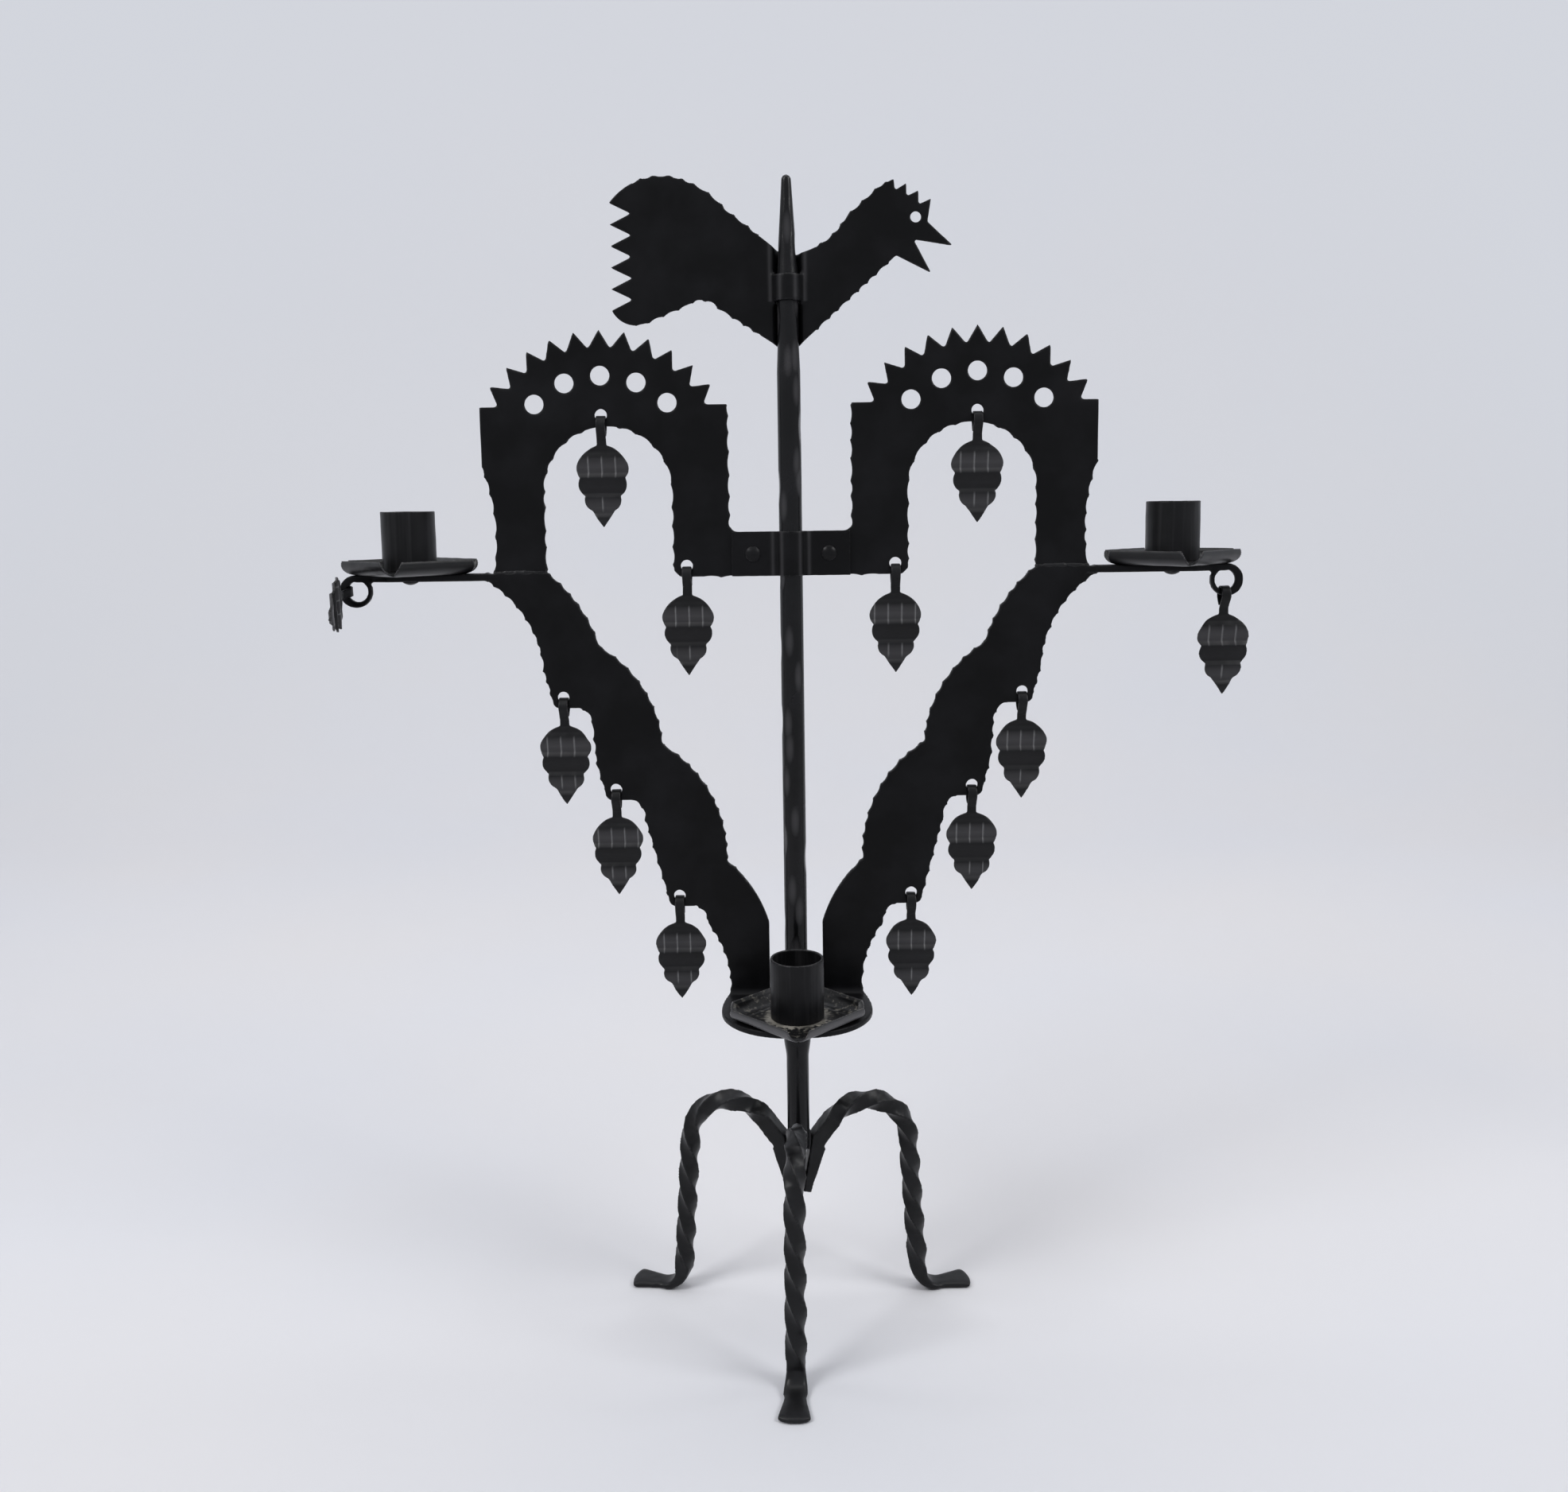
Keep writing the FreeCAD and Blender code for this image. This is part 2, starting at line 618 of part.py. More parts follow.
def arm_outline():
    top, under = size("bar_top_z"), size("bar_top_z") - size("bar_thickness")
    foot = size("lobe_top_z") - size("arm_thickness")
    outer_top = size("arch_outer_x")
    radius = size("hook_hole_radius")
    lip = -radius - size("hook_margin")
    outer = [line((outer_top, top), (outer_top, under))]
    here = (outer_top, under)
    for which in LEAF_STEPS:
        side, tuck = beside_hole(which, *EDGE_SIDE), beside_hole(which, *EDGE_TUCK)
        turn, toe, heel, hollow, end = [
            beside_hole(which, x, lip + z)
            for x, z in (LIP_ROUND, LIP_TOE, LIP_HEEL, LIP_HOLLOW, LIP_END)
        ]
        if which == "upper":
            outer.append(arc(here, bent(here, side, *TOP_HOLLOW), side))
        else:
            outer.append(line(here, side))
        outer += [line(side, tuck), arc(tuck, turn, toe), line(toe, heel), arc(heel, hollow, end)]
        here = end
    foot_outer, foot_inner = size("arm_foot_outer_x"), size("arm_foot_inner_x")
    swell = (foot_outer + FOOT_SWELL[0], (here[1] + foot) / 2 + FOOT_SWELL[1])
    outer.append(arc(here, swell, (foot_outer, foot)))
    outer.append(line((foot_outer, foot), (foot_inner, foot)))
    knees = [(foot_inner, beside_hole("lower", 0, FOOT_KNEE)[1])]
    knees += [beside_hole(*knee) for knee in ARM_KNEES]
    knees.append((size("opening_x") + size("opening_radius"), top))
    inner = [line((foot_inner, foot), knees[0])]
    for start, swell, end in zip(knees, ARM_SWELLS, knees[1:]):
        inner.append(arc(start, beside_hole(*swell), end))
    inner.append(line(knees[-1], (outer_top, top)))
    holes = [circle(arm_hole(which), radius) for which in LEAF_STEPS]
    return outer + inner + holes


def eye_x():
    return size("pan_x") + size("eye_reach")


def make_arms():
    plate = pad("arm_sheet", "XZ_Plane", arm_outline(), "sizes.arm_thickness")
    half_t, half_w = size("arm_thickness") / 2, size("bar_width") / 2
    start, wide = size("arch_outer_x") - size("bar_lap"), size("arch_outer_x") + size("bar_flare")
    eye, neck = eye_x(), size("eye_width") / 2
    narrow = eye - size("eye_radius")
    full = narrow - size("bar_draw")
    side = [(start, half_t), (wide, half_w), (full, half_w), (narrow, neck), (eye, neck)]
    mirror = [(x, -y) for x, y in reversed(side)]
    plan = polyline(side + mirror + side[:1])
    plan.append(circle((size("pan_x"), 0), size("rivet_radius")))
    under = "sizes.bar_top_z - sizes.bar_thickness"
    bar = pad("arm_bar", "XY_Plane", plan, "sizes.bar_thickness", under, False)
    centre = (eye, size("bar_top_z") - size("eye_radius"))
    bore = (eye - size("eye_shift"), centre[1])
    ring = [circle(centre, size("eye_radius")), circle(bore, size("eye_bore"))]
    curl = pad("arm_eye", "XZ_Plane", ring, "sizes.eye_width")
    lobe = pad(
        "arm_lobe", "XY_Plane", lobe_plan(), "sizes.arm_thickness",
        "sizes.lobe_top_z - sizes.arm_thickness", False,
    )
    whole = fuse("arm_whole", [plate, bar, curl, lobe])
    doc.recompute()
    arm = doc.addObject("Part::Fillet", "arm_bent")
    arm.Base = whole
    arm.Edges = bend_edges(whole.Shape)
    node(arm, "arm_right")
    mirrored(arm, "arm_left")


def bend_edges(shape):
    """The two edges along X where the sheet turns forward into its lobe, with their radii."""
    half, low = size("arm_thickness") / 2, size("lobe_top_z") - size("arm_thickness")
    bends = {
        (-half, size("lobe_top_z")): size("lobe_bend"),
        (half, low): size("lobe_bend") + half,
    }
    edges = []
    for number, edge in enumerate(shape.Edges, start=1):
        box = edge.BoundBox
        for (y, z), radius in bends.items():
            at_bend = abs(box.YMin - y) + abs(box.YMax - y) + abs(box.ZMin - z) + abs(box.ZMax - z)
            if at_bend < 1e-6 and box.XLength > 1:
                edges.append((number, radius, radius))
    return edges


def front_pan_y():
    return -(size("stem_radius") + size("pan_stem_gap") + size("pan_base") / math.sqrt(2))


# Lobe: its corner and its widest point as shares of its reach and depth, and the bend behind them.
LOBE_CORNER, LOBE_WIDEST, LOBE_REAR = (0.78, 0.8), 0.42, (0.6, 0.2)


def lobe_plan():
    """Lobe in plan: round in front, notched round the stem, flush with the arm's back."""
    back, seam = size("arm_thickness") / 2, size("lobe_seam")
    hug = size("stem_radius") + size("weld_gap")
    reach, depth = size("lobe_reach_x"), size("lobe_depth")
    foot = size("arm_foot_outer_x")
    front, widest = (seam, -depth), (reach, -depth * LOBE_WIDEST)
    notch = (seam, -math.sqrt(hug ** 2 - seam ** 2))
    slant = math.sqrt(0.5)
    return [
        line(notch, front),
        arc(front, (reach * LOBE_CORNER[0], -depth * LOBE_CORNER[1]), widest),
        arc(widest, (reach - LOBE_REAR[0], -depth * LOBE_REAR[1]), (foot, back)),
        line((foot, back), (hug, back)),
        line((hug, back), (hug, 0)),
        arc((hug, 0), (hug * slant, -hug * slant), notch),
        circle((size("front_rivet_x"), front_pan_y()), size("rivet_radius")),
    ]


# Pans and sockets: square pans with flared rims and open corners, set corner to the front,
# each with a tube for a candle.

def square(side, z):
    reach = side / math.sqrt(2)
    corners = [Vector(reach, 0, z), Vector(0, reach, z), Vector(-reach, 0, z), Vector(0, -reach, z)]
    return Part.makePolygon(corners + corners[:1])


def pan_shape(holes):
    base, rim, high = size("pan_base"), size("pan_rim"), size("pan_height")
    wall, notch = size("pan_wall"), size("pan_notch")
    flare = math.atan2((rim - base) / 2, high)
    inset = 2 * wall / math.cos(flare)
    slope = (rim - base) / high
    outer = Part.makeLoft([square(base, 0), square(rim, high)], True, True)
    inner = Part.makeLoft(
        [square(base + slope * wall - inset, wall), square(rim + slope - inset, high + 1)],
        True, True,
    )
    shape = outer.cut(inner)
    half = notch / math.sqrt(2)
    tall = high - wall
    wedge = Part.Face(Part.makePolygon([
        Vector(0, 0, wall), Vector(0, half * 2, wall + 2 * tall),
        Vector(0, -half * 2, wall + 2 * tall), Vector(0, 0, wall),
    ]))
    gap = wedge.extrude(Vector(rim, 0, 0))
    for turn in (0, 90, 180, 270):
        tool = gap.copy()
        tool.rotate(Vector(), Vector(0, 0, 1), turn)
        shape = shape.cut(tool)
    for x in holes:
        shape = shape.cut(Part.makeCylinder(size("rivet_radius"), wall, Vector(x, 0, 0)))
    return shape.removeSplitter().Solids[0]


def make_pans():
    lobe_z, bar_z = size("lobe_top_z"), size("bar_top_z")
    pan_x, front_x, front_y = size("pan_x"), size("front_rivet_x"), front_pan_y()
    wall = size("pan_wall")
    spots = {
        "front": ((0, front_y, lobe_z), (-front_x, front_x), size("arm_thickness")),
        "left": ((-pan_x, 0, bar_z), (0,), size("bar_thickness")),
        "right": ((pan_x, 0, bar_z), (0,), size("bar_thickness")),
    }
    rivets = []
    for where, (spot, holes, grip) in spots.items():
        place = Placement(Vector(*spot), Rotation())
        node(solid_feature("pan_" + where, pan_shape(holes), place), "pan_" + where)
        tube = bind(
            doc.addObject("Part::Cylinder", "socket_tube"),
            Radius="sizes.socket_radius", Height="sizes.socket_height",
        )
        hollow = bind(
            doc.addObject("Part::Cylinder", "socket_hollow"),
            Radius="sizes.socket_bore", Height="sizes.socket_height",
        )
        socket = node(cut("socket", tube, hollow), "socket_" + where)
        socket.Placement = Placement(Vector(*spot) + Vector(0, 0, wall), Rotation())
        for x in holes:
            one = rivet(-grip, wall, size("strap_rivet_head"))
            one.translate(Vector(*spot) + Vector(x, 0, 0))
            rivets.append(one)
    node(solid_feature("pan_rivet_set", Part.makeCompound(rivets)), "pan_rivets")


# Rooster: one sheet, slit twice so that a strip passes in front of the stem and the sheet
# above and below passes behind it.

ROOSTER_SLOPE = 60.0  # degrees of the strip's sides
ROOSTER_BEND = 2.0  # bends at the ends of the strip


def rooster_outline():
    """Front view of the whole sheet; its heights count from the middle of the strip."""
    level, share = strip_z(), size("rooster_width") / ROOSTER_DRAWN

    def at(*points):
        return [(x * share, level + z * share) for x, z in points]

    notch, tips = size("tail_notch") / share, int(size("tail_tips"))
    edge, tail_top, tail_bottom = -81.0, 39.0, -9.0
    gap = (tail_top - tail_bottom) / (tips - 1)
    tail = [(edge, tail_bottom)]
    for k in range(1, tips):
        tail.append((edge + notch, tail_bottom + gap * (k - 0.5)))
        tail.append((edge, tail_bottom + gap * k))
    hackle, wing = at((42.0, 44.5))[0], at((27.4, 31.8))[0]
    back, breast, belly, rump = at((-5.0, 17.5), (5.0, 15.5), (5.0, -26.0), (-5.0, -26.0))
    saddle_top, tail_side, tail_crest = at((-28.0, 35.5), (-51.0, 50.0), (-39.5, 45.2))
    vent, thigh, under_tail = at((-31.5, -9.0), (-46.0, -7.0), (-66.0, -TAIL_SAG))
    comb = at(
        (49.0, 48.0), (49.6, 43.0), (54.8, 46.0), (54.8, 40.2),
        (60.3, 42.7), (60.3, 36.5), (66.0, 39.0), (64.4, 28.8),
    )
    beak = at((76.0, 18.0), (58.0, 21.0), (66.0, 6.0), (50.0, 14.0))
    tail = at(*tail)
    outline = polyline(tail)
    outline += [
        arc(tail[-1], at((-69.0, 48.2))[0], tail_side),
        arc(tail_side, tail_crest, saddle_top),
        line(saddle_top, back),
        line(back, breast),
        arc(breast, at((14.5, 19.0))[0], wing),
        line(wing, hackle),
    ]
    outline += polyline([hackle] + comb + beak + [belly, rump, vent])
    outline += [
        arc(vent, at((-38.0, -5.0))[0], thigh),
        line(thigh, under_tail),
        arc(under_tail, at((-74.5, -15.0))[0], tail[0]),
        circle(at((59.0, 31.0))[0], size("rooster_eye_radius")),
    ]
    return outline


def make_rooster():
    plan, half = saddle(
        0.0, size("rooster_thickness"), size("rooster_clearance"), ROOSTER_SLOPE, ROOSTER_BEND
    )
    flat = pad("rooster_sheet", "XZ_Plane", rooster_outline(), "sizes.rooster_thickness")
    window = doc.addObject("Part::Box", "rooster_window")
    slot = bind(doc.addObject("Part::Box", "rooster_slot"), Height="sizes.rooster_strip_height")
    bind(window, Height="2 * sizes.rooster_width")
    low, bottom = STRIP_Z + " - sizes.rooster_strip_height / 2", STRIP_Z + " - sizes.rooster_width"
    for block, base in ((window, bottom), (slot, low)):
        block.Length, block.Width = 2 * half, 2 * size("rooster_width")
        block.Placement = Placement(Vector(-half, -size("rooster_width"), 0), Rotation())
        block.setExpression("Placement.Base.z", base)
    sides = cut("rooster_sides", flat, window)
    strip = pad("rooster_strip", "XY_Plane", plan, "sizes.rooster_strip_height", low, False)
    behind = pad("rooster_behind", "XY_Plane", plan, "2 * sizes.rooster_width", bottom, False)
    rear = doc.addObject("Part::Mirroring", "rooster_rear")
    rear.Source = behind
    rear.Normal = Vector(0, 1, 0)
    deep = pad("rooster_deep", "XZ_Plane", rooster_outline(), "2 * sizes.rooster_width")
    backing = cut("rooster_backing", common("rooster_trimmed", rear, deep), slot)
    node(fuse("rooster_whole", [sides, strip, backing]), "rooster")


# Leaves: a corrugated blade on a narrow strip that is bent to a closed hook.

def hook_geometry():
    """Mid-line radius of the loop, length of its straight sides and depth of the blade below it."""
    middle = size("leaf_loop") + size("leaf_thickness") / 2
    lean, bend = math.radians(size("leaf_loop_slope")), size("leaf_neck_bend")
    run = (middle * math.cos(lean) - bend * (1 - math.cos(lean))) / math.sin(lean)
    neck = bend * math.sin(lean) + run * math.cos(lean) + middle * math.sin(lean)
    return middle, run, neck + size("leaf_neck_length")


def leaf_profile():
    """Side view from the blade's tip up through the corrugations, the neck and the hook."""
    middle, run, neck = hook_geometry()
    slope, turn = size("leaf_loop_slope"), size("leaf_wave_turn")
    waves, length = int(size("leaf_waves")), size("leaf_length")
    radius = length / (4 * waves * math.sin(math.radians(turn)))
    steps = []
    for k in range(waves):
        way = turn if k % 2 == 0 else -turn
        steps += [(radius, way), (radius, -2 * way), (radius, way)]
    gap = size("leaf_thickness") + size("leaf_seat_gap")
    lean = math.radians(slope)
    closing = (middle * math.cos(lean) - gap / (2 * math.cos(lean))) / math.sin(lean)
    tail = min(run, closing - size("leaf_thickness") / 2)
    steps += [(size("leaf_neck_length"),), (size("leaf_neck_bend"), slope), (run,)]
    steps += [(middle, -(180 + 2 * slope)), (tail,)]
    return band((0, -neck - length), 90, steps, size("leaf_thickness"))


def leaf_front():
    """Front view: a strip for the hook and a blade of four lobes a side, pointed at the tip."""
    middle, run, neck = hook_geometry()
    half, strip, length = size("leaf_width") / 2, size("leaf_neck") / 2, size("leaf_length")
    top = middle + size("leaf_thickness")
    # Ends and swells of the shoulder and the lobes, as shares of the half width and the length.
    ends = [(0.94, 0.20), (0.86, 0.39), (0.68, 0.61), (0.44, 0.79), (0.0, 1.0)]
    swells = [(0.62, 0.07), (1.0, 0.29), (0.92, 0.50), (0.69, 0.70), (0.19, 0.91)]
    outline = [line((-strip, top), (strip, top))]
    for hand in (-1, 1):
        here = (hand * strip, -neck)
        outline.append(line((hand * strip, top), here))
        for (ex, ez), (vx, vz) in zip(ends, swells):
            swell = (hand * vx * half, -neck - vz * length)
            end = (hand * ex * half, -neck - ez * length)
            outline.append(arc(here, swell, end))
            here = end
    return outline


def hang_height(seat_z, metal_thickness, bore_radius):
    """Height of the hook's middle over a round hole whose lowest point is seat_z."""
    strip = size("leaf_neck") / 2
    lift = bore_radius - math.sqrt(bore_radius ** 2 - strip ** 2)
    loop = size("leaf_loop") - size("leaf_seat_gap")
    return seat_z + lift - math.sqrt(loop ** 2 - (metal_thickness / 2) ** 2)


def leaf_places():
    """Where the middle of each right-hand leaf's hook is, by name."""
    radius = size("hook_hole_radius")
    arch, arm = size("arch_thickness"), size("arm_thickness")
    arch_x, arch_z = hook_hole(size("arch_centre_x"), opening_top())
    corner_x, corner_z = hook_hole(size("corner_leaf_x"), crossbar_bottom())
    places = {
        "arch": (arch_x, hang_height(arch_z - radius, arch, radius)),
        "corner": (corner_x, hang_height(corner_z - radius, arch, radius)),
    }
    for which in LEAF_STEPS:
        x, z = arm_hole(which)
        places[which] = (x, hang_height(z - radius, arm, radius))
    bore = size("eye_bore")
    low = size("bar_top_z") - size("eye_radius") - bore
    places["eye"] = (eye_x() - size("eye_shift"), hang_height(low, size("eye_width"), bore))
    return places


def leaf_placement(which, hand, x, z):
    """Leaves hang straight, except one that is jammed on the side of its eye and points forward."""
    if (which, hand) != ("eye", "left"):
        return Placement(Vector(x if hand == "right" else -x, 0, z), Rotation())
    eye = size("bar_top_z") - size("eye_radius")
    inside = eye_x() - size("eye_shift") + size("eye_bore")
    middle = (inside + eye_x() + size("eye_radius")) / 2
    upright = Rotation(Vector(0, 1, 0), 90 - size("jammed_leaf_droop"))
    forward = Rotation(Vector(0, 0, 1), 90 + size("jammed_leaf_turn"))
    return Placement(Vector(-middle, 0, eye), forward.multiply(upright))


def make_leaves():
    side = pad("leaf_side", "YZ_Plane", leaf_profile(), "sizes.leaf_width * 1.1")
    front = pad("leaf_front", "XZ_Plane", leaf_front(), "sizes.leaf_width * 2")
    pattern = common("leaf_pattern", side, front)
    doc.recompute()
    leaf = pattern.Shape.Solids[0]
    for which, (x, z) in leaf_places().items():
        for hand in ("left", "right"):
            label = "leaf_%s_%s" % (which, hand)
            place = leaf_placement(which, hand, x, z)
            node(solid_feature(label, leaf.copy(), place), label)


make_stem()
make_legs()
make_arches()
make_straps()
make_arms()
make_pans()
make_rooster()
make_leaves()
doc.recompute()

for obj in doc.Objects:
    if "Invalid" in obj.State or "Error" in obj.State:
        raise RuntimeError("%s did not build: %s" % (obj.Label, obj.State))
for obj in nodes:
    if obj.Shape.isNull() or not obj.Shape.isValid() or not obj.Shape.Solids:
        raise RuntimeError("%s has no valid solid" % obj.Label)

os.makedirs("parts", exist_ok=True)
for obj in nodes:
    obj.Shape.exportStep("parts/%s.step" % obj.Label)
    box = obj.Shape.BoundBox
    print("%-18s %d solids %9.1f mm3  x %7.1f %7.1f  y %6.1f %6.1f  z %6.1f %6.1f" % (
        obj.Label, len(obj.Shape.Solids), obj.Shape.Volume,
        box.XMin, box.XMax, box.YMin, box.YMax, box.ZMin, box.ZMax,
    ))
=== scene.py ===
import json
import math

import bmesh
import bpy
from bpy.props import FloatProperty, PointerProperty, StringProperty
from mathutils import Euler, Matrix, Vector, kdtree, noise


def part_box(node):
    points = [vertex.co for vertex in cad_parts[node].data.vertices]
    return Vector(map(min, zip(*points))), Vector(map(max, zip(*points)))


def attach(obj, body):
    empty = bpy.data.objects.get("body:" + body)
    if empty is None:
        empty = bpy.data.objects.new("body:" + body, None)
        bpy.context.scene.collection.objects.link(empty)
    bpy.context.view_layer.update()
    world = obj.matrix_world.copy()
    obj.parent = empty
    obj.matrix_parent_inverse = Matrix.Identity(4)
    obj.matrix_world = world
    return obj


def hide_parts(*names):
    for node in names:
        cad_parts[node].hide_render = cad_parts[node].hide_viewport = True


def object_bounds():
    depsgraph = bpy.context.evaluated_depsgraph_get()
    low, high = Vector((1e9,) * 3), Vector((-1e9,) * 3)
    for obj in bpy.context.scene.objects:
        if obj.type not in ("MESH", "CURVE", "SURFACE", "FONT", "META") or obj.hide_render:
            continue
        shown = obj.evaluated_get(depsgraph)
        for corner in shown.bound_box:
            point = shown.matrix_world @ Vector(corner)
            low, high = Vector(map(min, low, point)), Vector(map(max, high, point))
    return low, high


bl_info = {
    "name": "Forged Candelabra",
    "version": (1, 0, 0),
    "blender": (4, 5, 0),
    "location": "View3D > Sidebar > Candelabra",
    "description": "Dresses the candelabra's frame as hammered iron under satin black paint",
    "category": "Add Mesh",
}

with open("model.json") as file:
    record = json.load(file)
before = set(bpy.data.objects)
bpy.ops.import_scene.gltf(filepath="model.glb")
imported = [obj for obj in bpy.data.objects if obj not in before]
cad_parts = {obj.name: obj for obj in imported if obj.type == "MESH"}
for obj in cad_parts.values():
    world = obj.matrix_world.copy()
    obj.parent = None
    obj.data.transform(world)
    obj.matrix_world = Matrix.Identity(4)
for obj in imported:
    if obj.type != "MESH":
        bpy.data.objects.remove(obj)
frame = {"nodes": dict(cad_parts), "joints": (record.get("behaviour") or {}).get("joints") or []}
CAD_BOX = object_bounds()
MM = 0.001
HANDS = ("left", "right")
PLACES = ("front", "left", "right")
LEAVES = ("arch", "corner", "upper", "middle", "lower", "eye")
VEIN_MARK, HIGHLIGHT_MARK = "vein", "rub"  # the mesh's marks: scored veins and painted highlights

# Paint. A mask goes from 0 to 1 between the two values of its range.
PATCH_MM, GRAIN_MM = 26, 1.3  # size of the dull patches and of the brush's grain
BRUSH_DEPTH_MM = 0.05
DUSTY = {"From Min": 0.42, "From Max": 0.68}  # patches that are dusty
DULLED = {"From Min": 0.3, "From Max": 0.7}  # patches that are dull
ON_EDGES = {"From Min": 0.525, "From Max": 0.60}  # pointiness of edges
BROKEN_UP = {"From Min": 0.40, "From Max": 0.62}  # grain that breaks up the rubbed edges
STREAK_MM, STREAK_LENGTH_MM = 2.4, 60  # streaks down a drawn tube
STREAKED = {"From Min": 0.48, "From Max": 0.72}
STREAK_RUB = 0.12  # how far a streak is rubbed grey

# Wax in the front pan
SPECK_MM, SMEAR_MM = 2.2, 9.0
WAX_RING_MM, WAX_RING = (12.5, 16.5), 0.36  # the ring's reach from the socket's axis, and what it adds
WAXED = {"From Min": 0.54, "From Max": 0.72}  # specks and ring that are covered
SMEARED = {"From Min": 0.30, "From Max": 0.60}
FACES_UP = {"From Min": 0.2, "From Max": 0.7}  # normals that wax lies on
FACES_OUT = {"From Min": 0.4, "From Max": 0.1}  # normals of the rim's outside, which gets the painted sheen
RIM_SHEEN = 0.5  # how strong the painted sheen is on the outside of the front pan

# Skins
SKIN_MM = {  # size of the faces of each kind of piece
    "stem": 0.7, "leg": 0.6, "sheet": 0.7, "strap": 0.5, "rivets": 0.35, "pan": 0.5, "socket": 0.5,
    "rooster": 0.55, "leaf": 0.4, "weld": 0.4,
}
MERGE_MM = 0.001  # points nearer than this are one
SOFTEN = 0.5  # how far one turn of smoothing goes
BLOB_TURNS = 2  # subdivisions of burrs and weld blobs
BEAD_SOFT_TURNS = 2  # how often a weld bead is smoothed

# Hammered sheets
FLAT_FACE, EDGE_WALL = 0.97, 0.5  # how far a normal is along Y on a sheet's face and on its edge
BLOW_SPREAD = 0.25  # how far blows stray from an even pitch
BLOW_DRAW, SHEET_DRAW, RUN_DRAW = 1.37, 5.1, 0.01  # steps in the noise that spreads the blows
BLOW_INSET = 0.3  # share of a blow's depth that is inside the sheet's outline
SHEET_WAVE_MM = 14.0  # length of the unevenness of a sheet's face
SHEET_SHIFT_MM = Vector((37.0, 11.0, 23.0))  # from sheet to sheet in the noise of their faces
EDGE_GIVE_MM = 4.0  # a blow on an edge moves the sheet this far in
SHORT_RUN_MM, RUN_STEP_MM = 60.0, 0.6  # holes are shorter round; blows are worked out in these steps
HOLE_CLEAR_MM = 7.5  # the hammer keeps this far from a leaf hole's middle
CROWN_MM = 36.0  # height of the crown over an arch's shoulders
BEND_HIGHLIGHT, BEND_HIGHLIGHT_MM = 0.35, 0.8  # how strong the painted highlight along a bend is, and half its width

# Stem and legs
SCOOP_LENGTH_MM, SCOOP_WIDTH_MM = 8.0, 2.2  # half the length and half the width of a hammer flat
SCOOP_DRAW, TURN_DRAW = (3.5, 1.5), (7.5, 2.5)  # rows of noise for the flats' heights and directions
FLAT_HIGHLIGHT = 0.4  # how strong the painted highlight in the middle of a flat is
STEM_SWELL_MM, SWELL_FADE_MM = 0.5, 12.0  # the bar is this much thicker, and thins out over this height
UPSET_SWELL_MM = 1.6  # how much thicker the bar is where it is upset
UPSET_MM = (30.0, 20.0, 12.0)  # below the lobes: the upset starts, is full, runs out on the shoulder
DIMPLE_RISE = 1.6  # how steeply round hammer marks rise to their rims
LEG_BLOWS_MM, STRAP_BLOWS_MM = (8, 0.35), (4, 0.12)  # round hammer marks: how far apart, how deep
SOLE_MM = 4  # the lowest part of a foot isn't hammered
FOOT_MM, FOOT_SOFT_TURNS = 9.0, 40  # height of a foot, and how often it is smoothed

# Rooster and straps
ROOSTER_SEED = 7
TAIL_MM, HEAD_MM, STRIP_MM = 11.0, 30.0, 13.0  # plain stretches of the rooster
STRIP_HALF_MM = 6.0  # half the height of the rooster's strip
SLIT_ENDS_MM = ((6.55, 0.0), (5.9, 3.2))  # burrs at the ends of the slits, to the side and to the back
SLIT_SHARES = (-1, -0.8, 0.8, 1)  # and up and down, as shares of the strip's half height
BURR_MM = 1.5  # radius of the burrs
STRAP_BENDS_MM, STRIP_BENDS_MM = (4.4, 8.6), (3.6, 8.2)  # bends of the strap and the rooster's strip

# Welds
WELD_STEP_MM, BEAD_END = 1.2, 0.75  # blobs of a bead are this far apart, and this much smaller at its ends
BEAD_UNEVEN = 0.15  # how far the blobs differ in size
LEVEL_MM = 0.05  # points this near a height are level with it
ARCH_WELD_MM, LEG_WELD_MM, TAIL_WELD_MM = 1.65, 1.25, 3.2  # radius of the beads
TAIL_REACH_MM = 9.0  # tails end this near the axis
TAIL_BLOBS, LEG_BLOBS = 13, 10
LEG_WELD_TURN = math.radians(34)  # from the middle of a leg round to its bead
LEG_WELD_RADIUS_MM, LEG_WELD_SHARE = 5.4, 0.35  # bead to the stem's axis; its height beside the leg

# Pans
PAN_FOOT_MM, PAN_RUN_MM = (17.0, 0.6), (7.6, 5.4)  # start of a pan's sides, outward and up; their reach
PAN_SWELL_MM = 0.25  # a pan's sheet is this much thicker each side
PAN_WAVE_MM, PAN_WAVE_DEPTH_MM = 7, 0.12  # unevenness of pans and sockets

# Leaves
LEAF_WAVE_MM, LEAF_WAVE_DEPTH_MM = 5, 0.18  # unevenness of a blade
LEAF_SHIFT_MM = Vector((19.0, 7.0, 31.0))  # from leaf to leaf in the noise of their blades
LEAF_DRAW_MM = 3.7  # step in the noise that shifts the veins
LEAF_NECK_MM = 9.6  # middle of a leaf's hook to the top of its blade
SIDEWAYS = 0.5  # a blade that leans more than this from the upright is jammed sideways
ROW_MM = 0.8  # the blade's middle is found in rows of this height
LEAF_BANDS, BAND_START = 4, 0.45  # bands down a blade, and where the first begins
BAND_LIT, BAND_DEPTH_MM = 0.78, 1.5  # share of a band that faces down, and its depth
BAND_HIGHLIGHT = (0.04, 0.50, 0.06, 0.42, 0.10)  # how strong the painted highlight on each band is, from the neck down
BAND_BREADTH = 0.7  # the lower, the broader the painted highlight on a band
VEIN_BANDS = ((0.12, 0.40, 0.85), (0.62, 0.82, 0.45))  # along the blade from, to, and how far across
VEIN_GAP, VEIN_WIDTH_MM = 0.52, 0.45  # veins apart, in half widths of the blade; half a vein
VEIN_FADE = 0.06  # share of the blade over which a vein ends

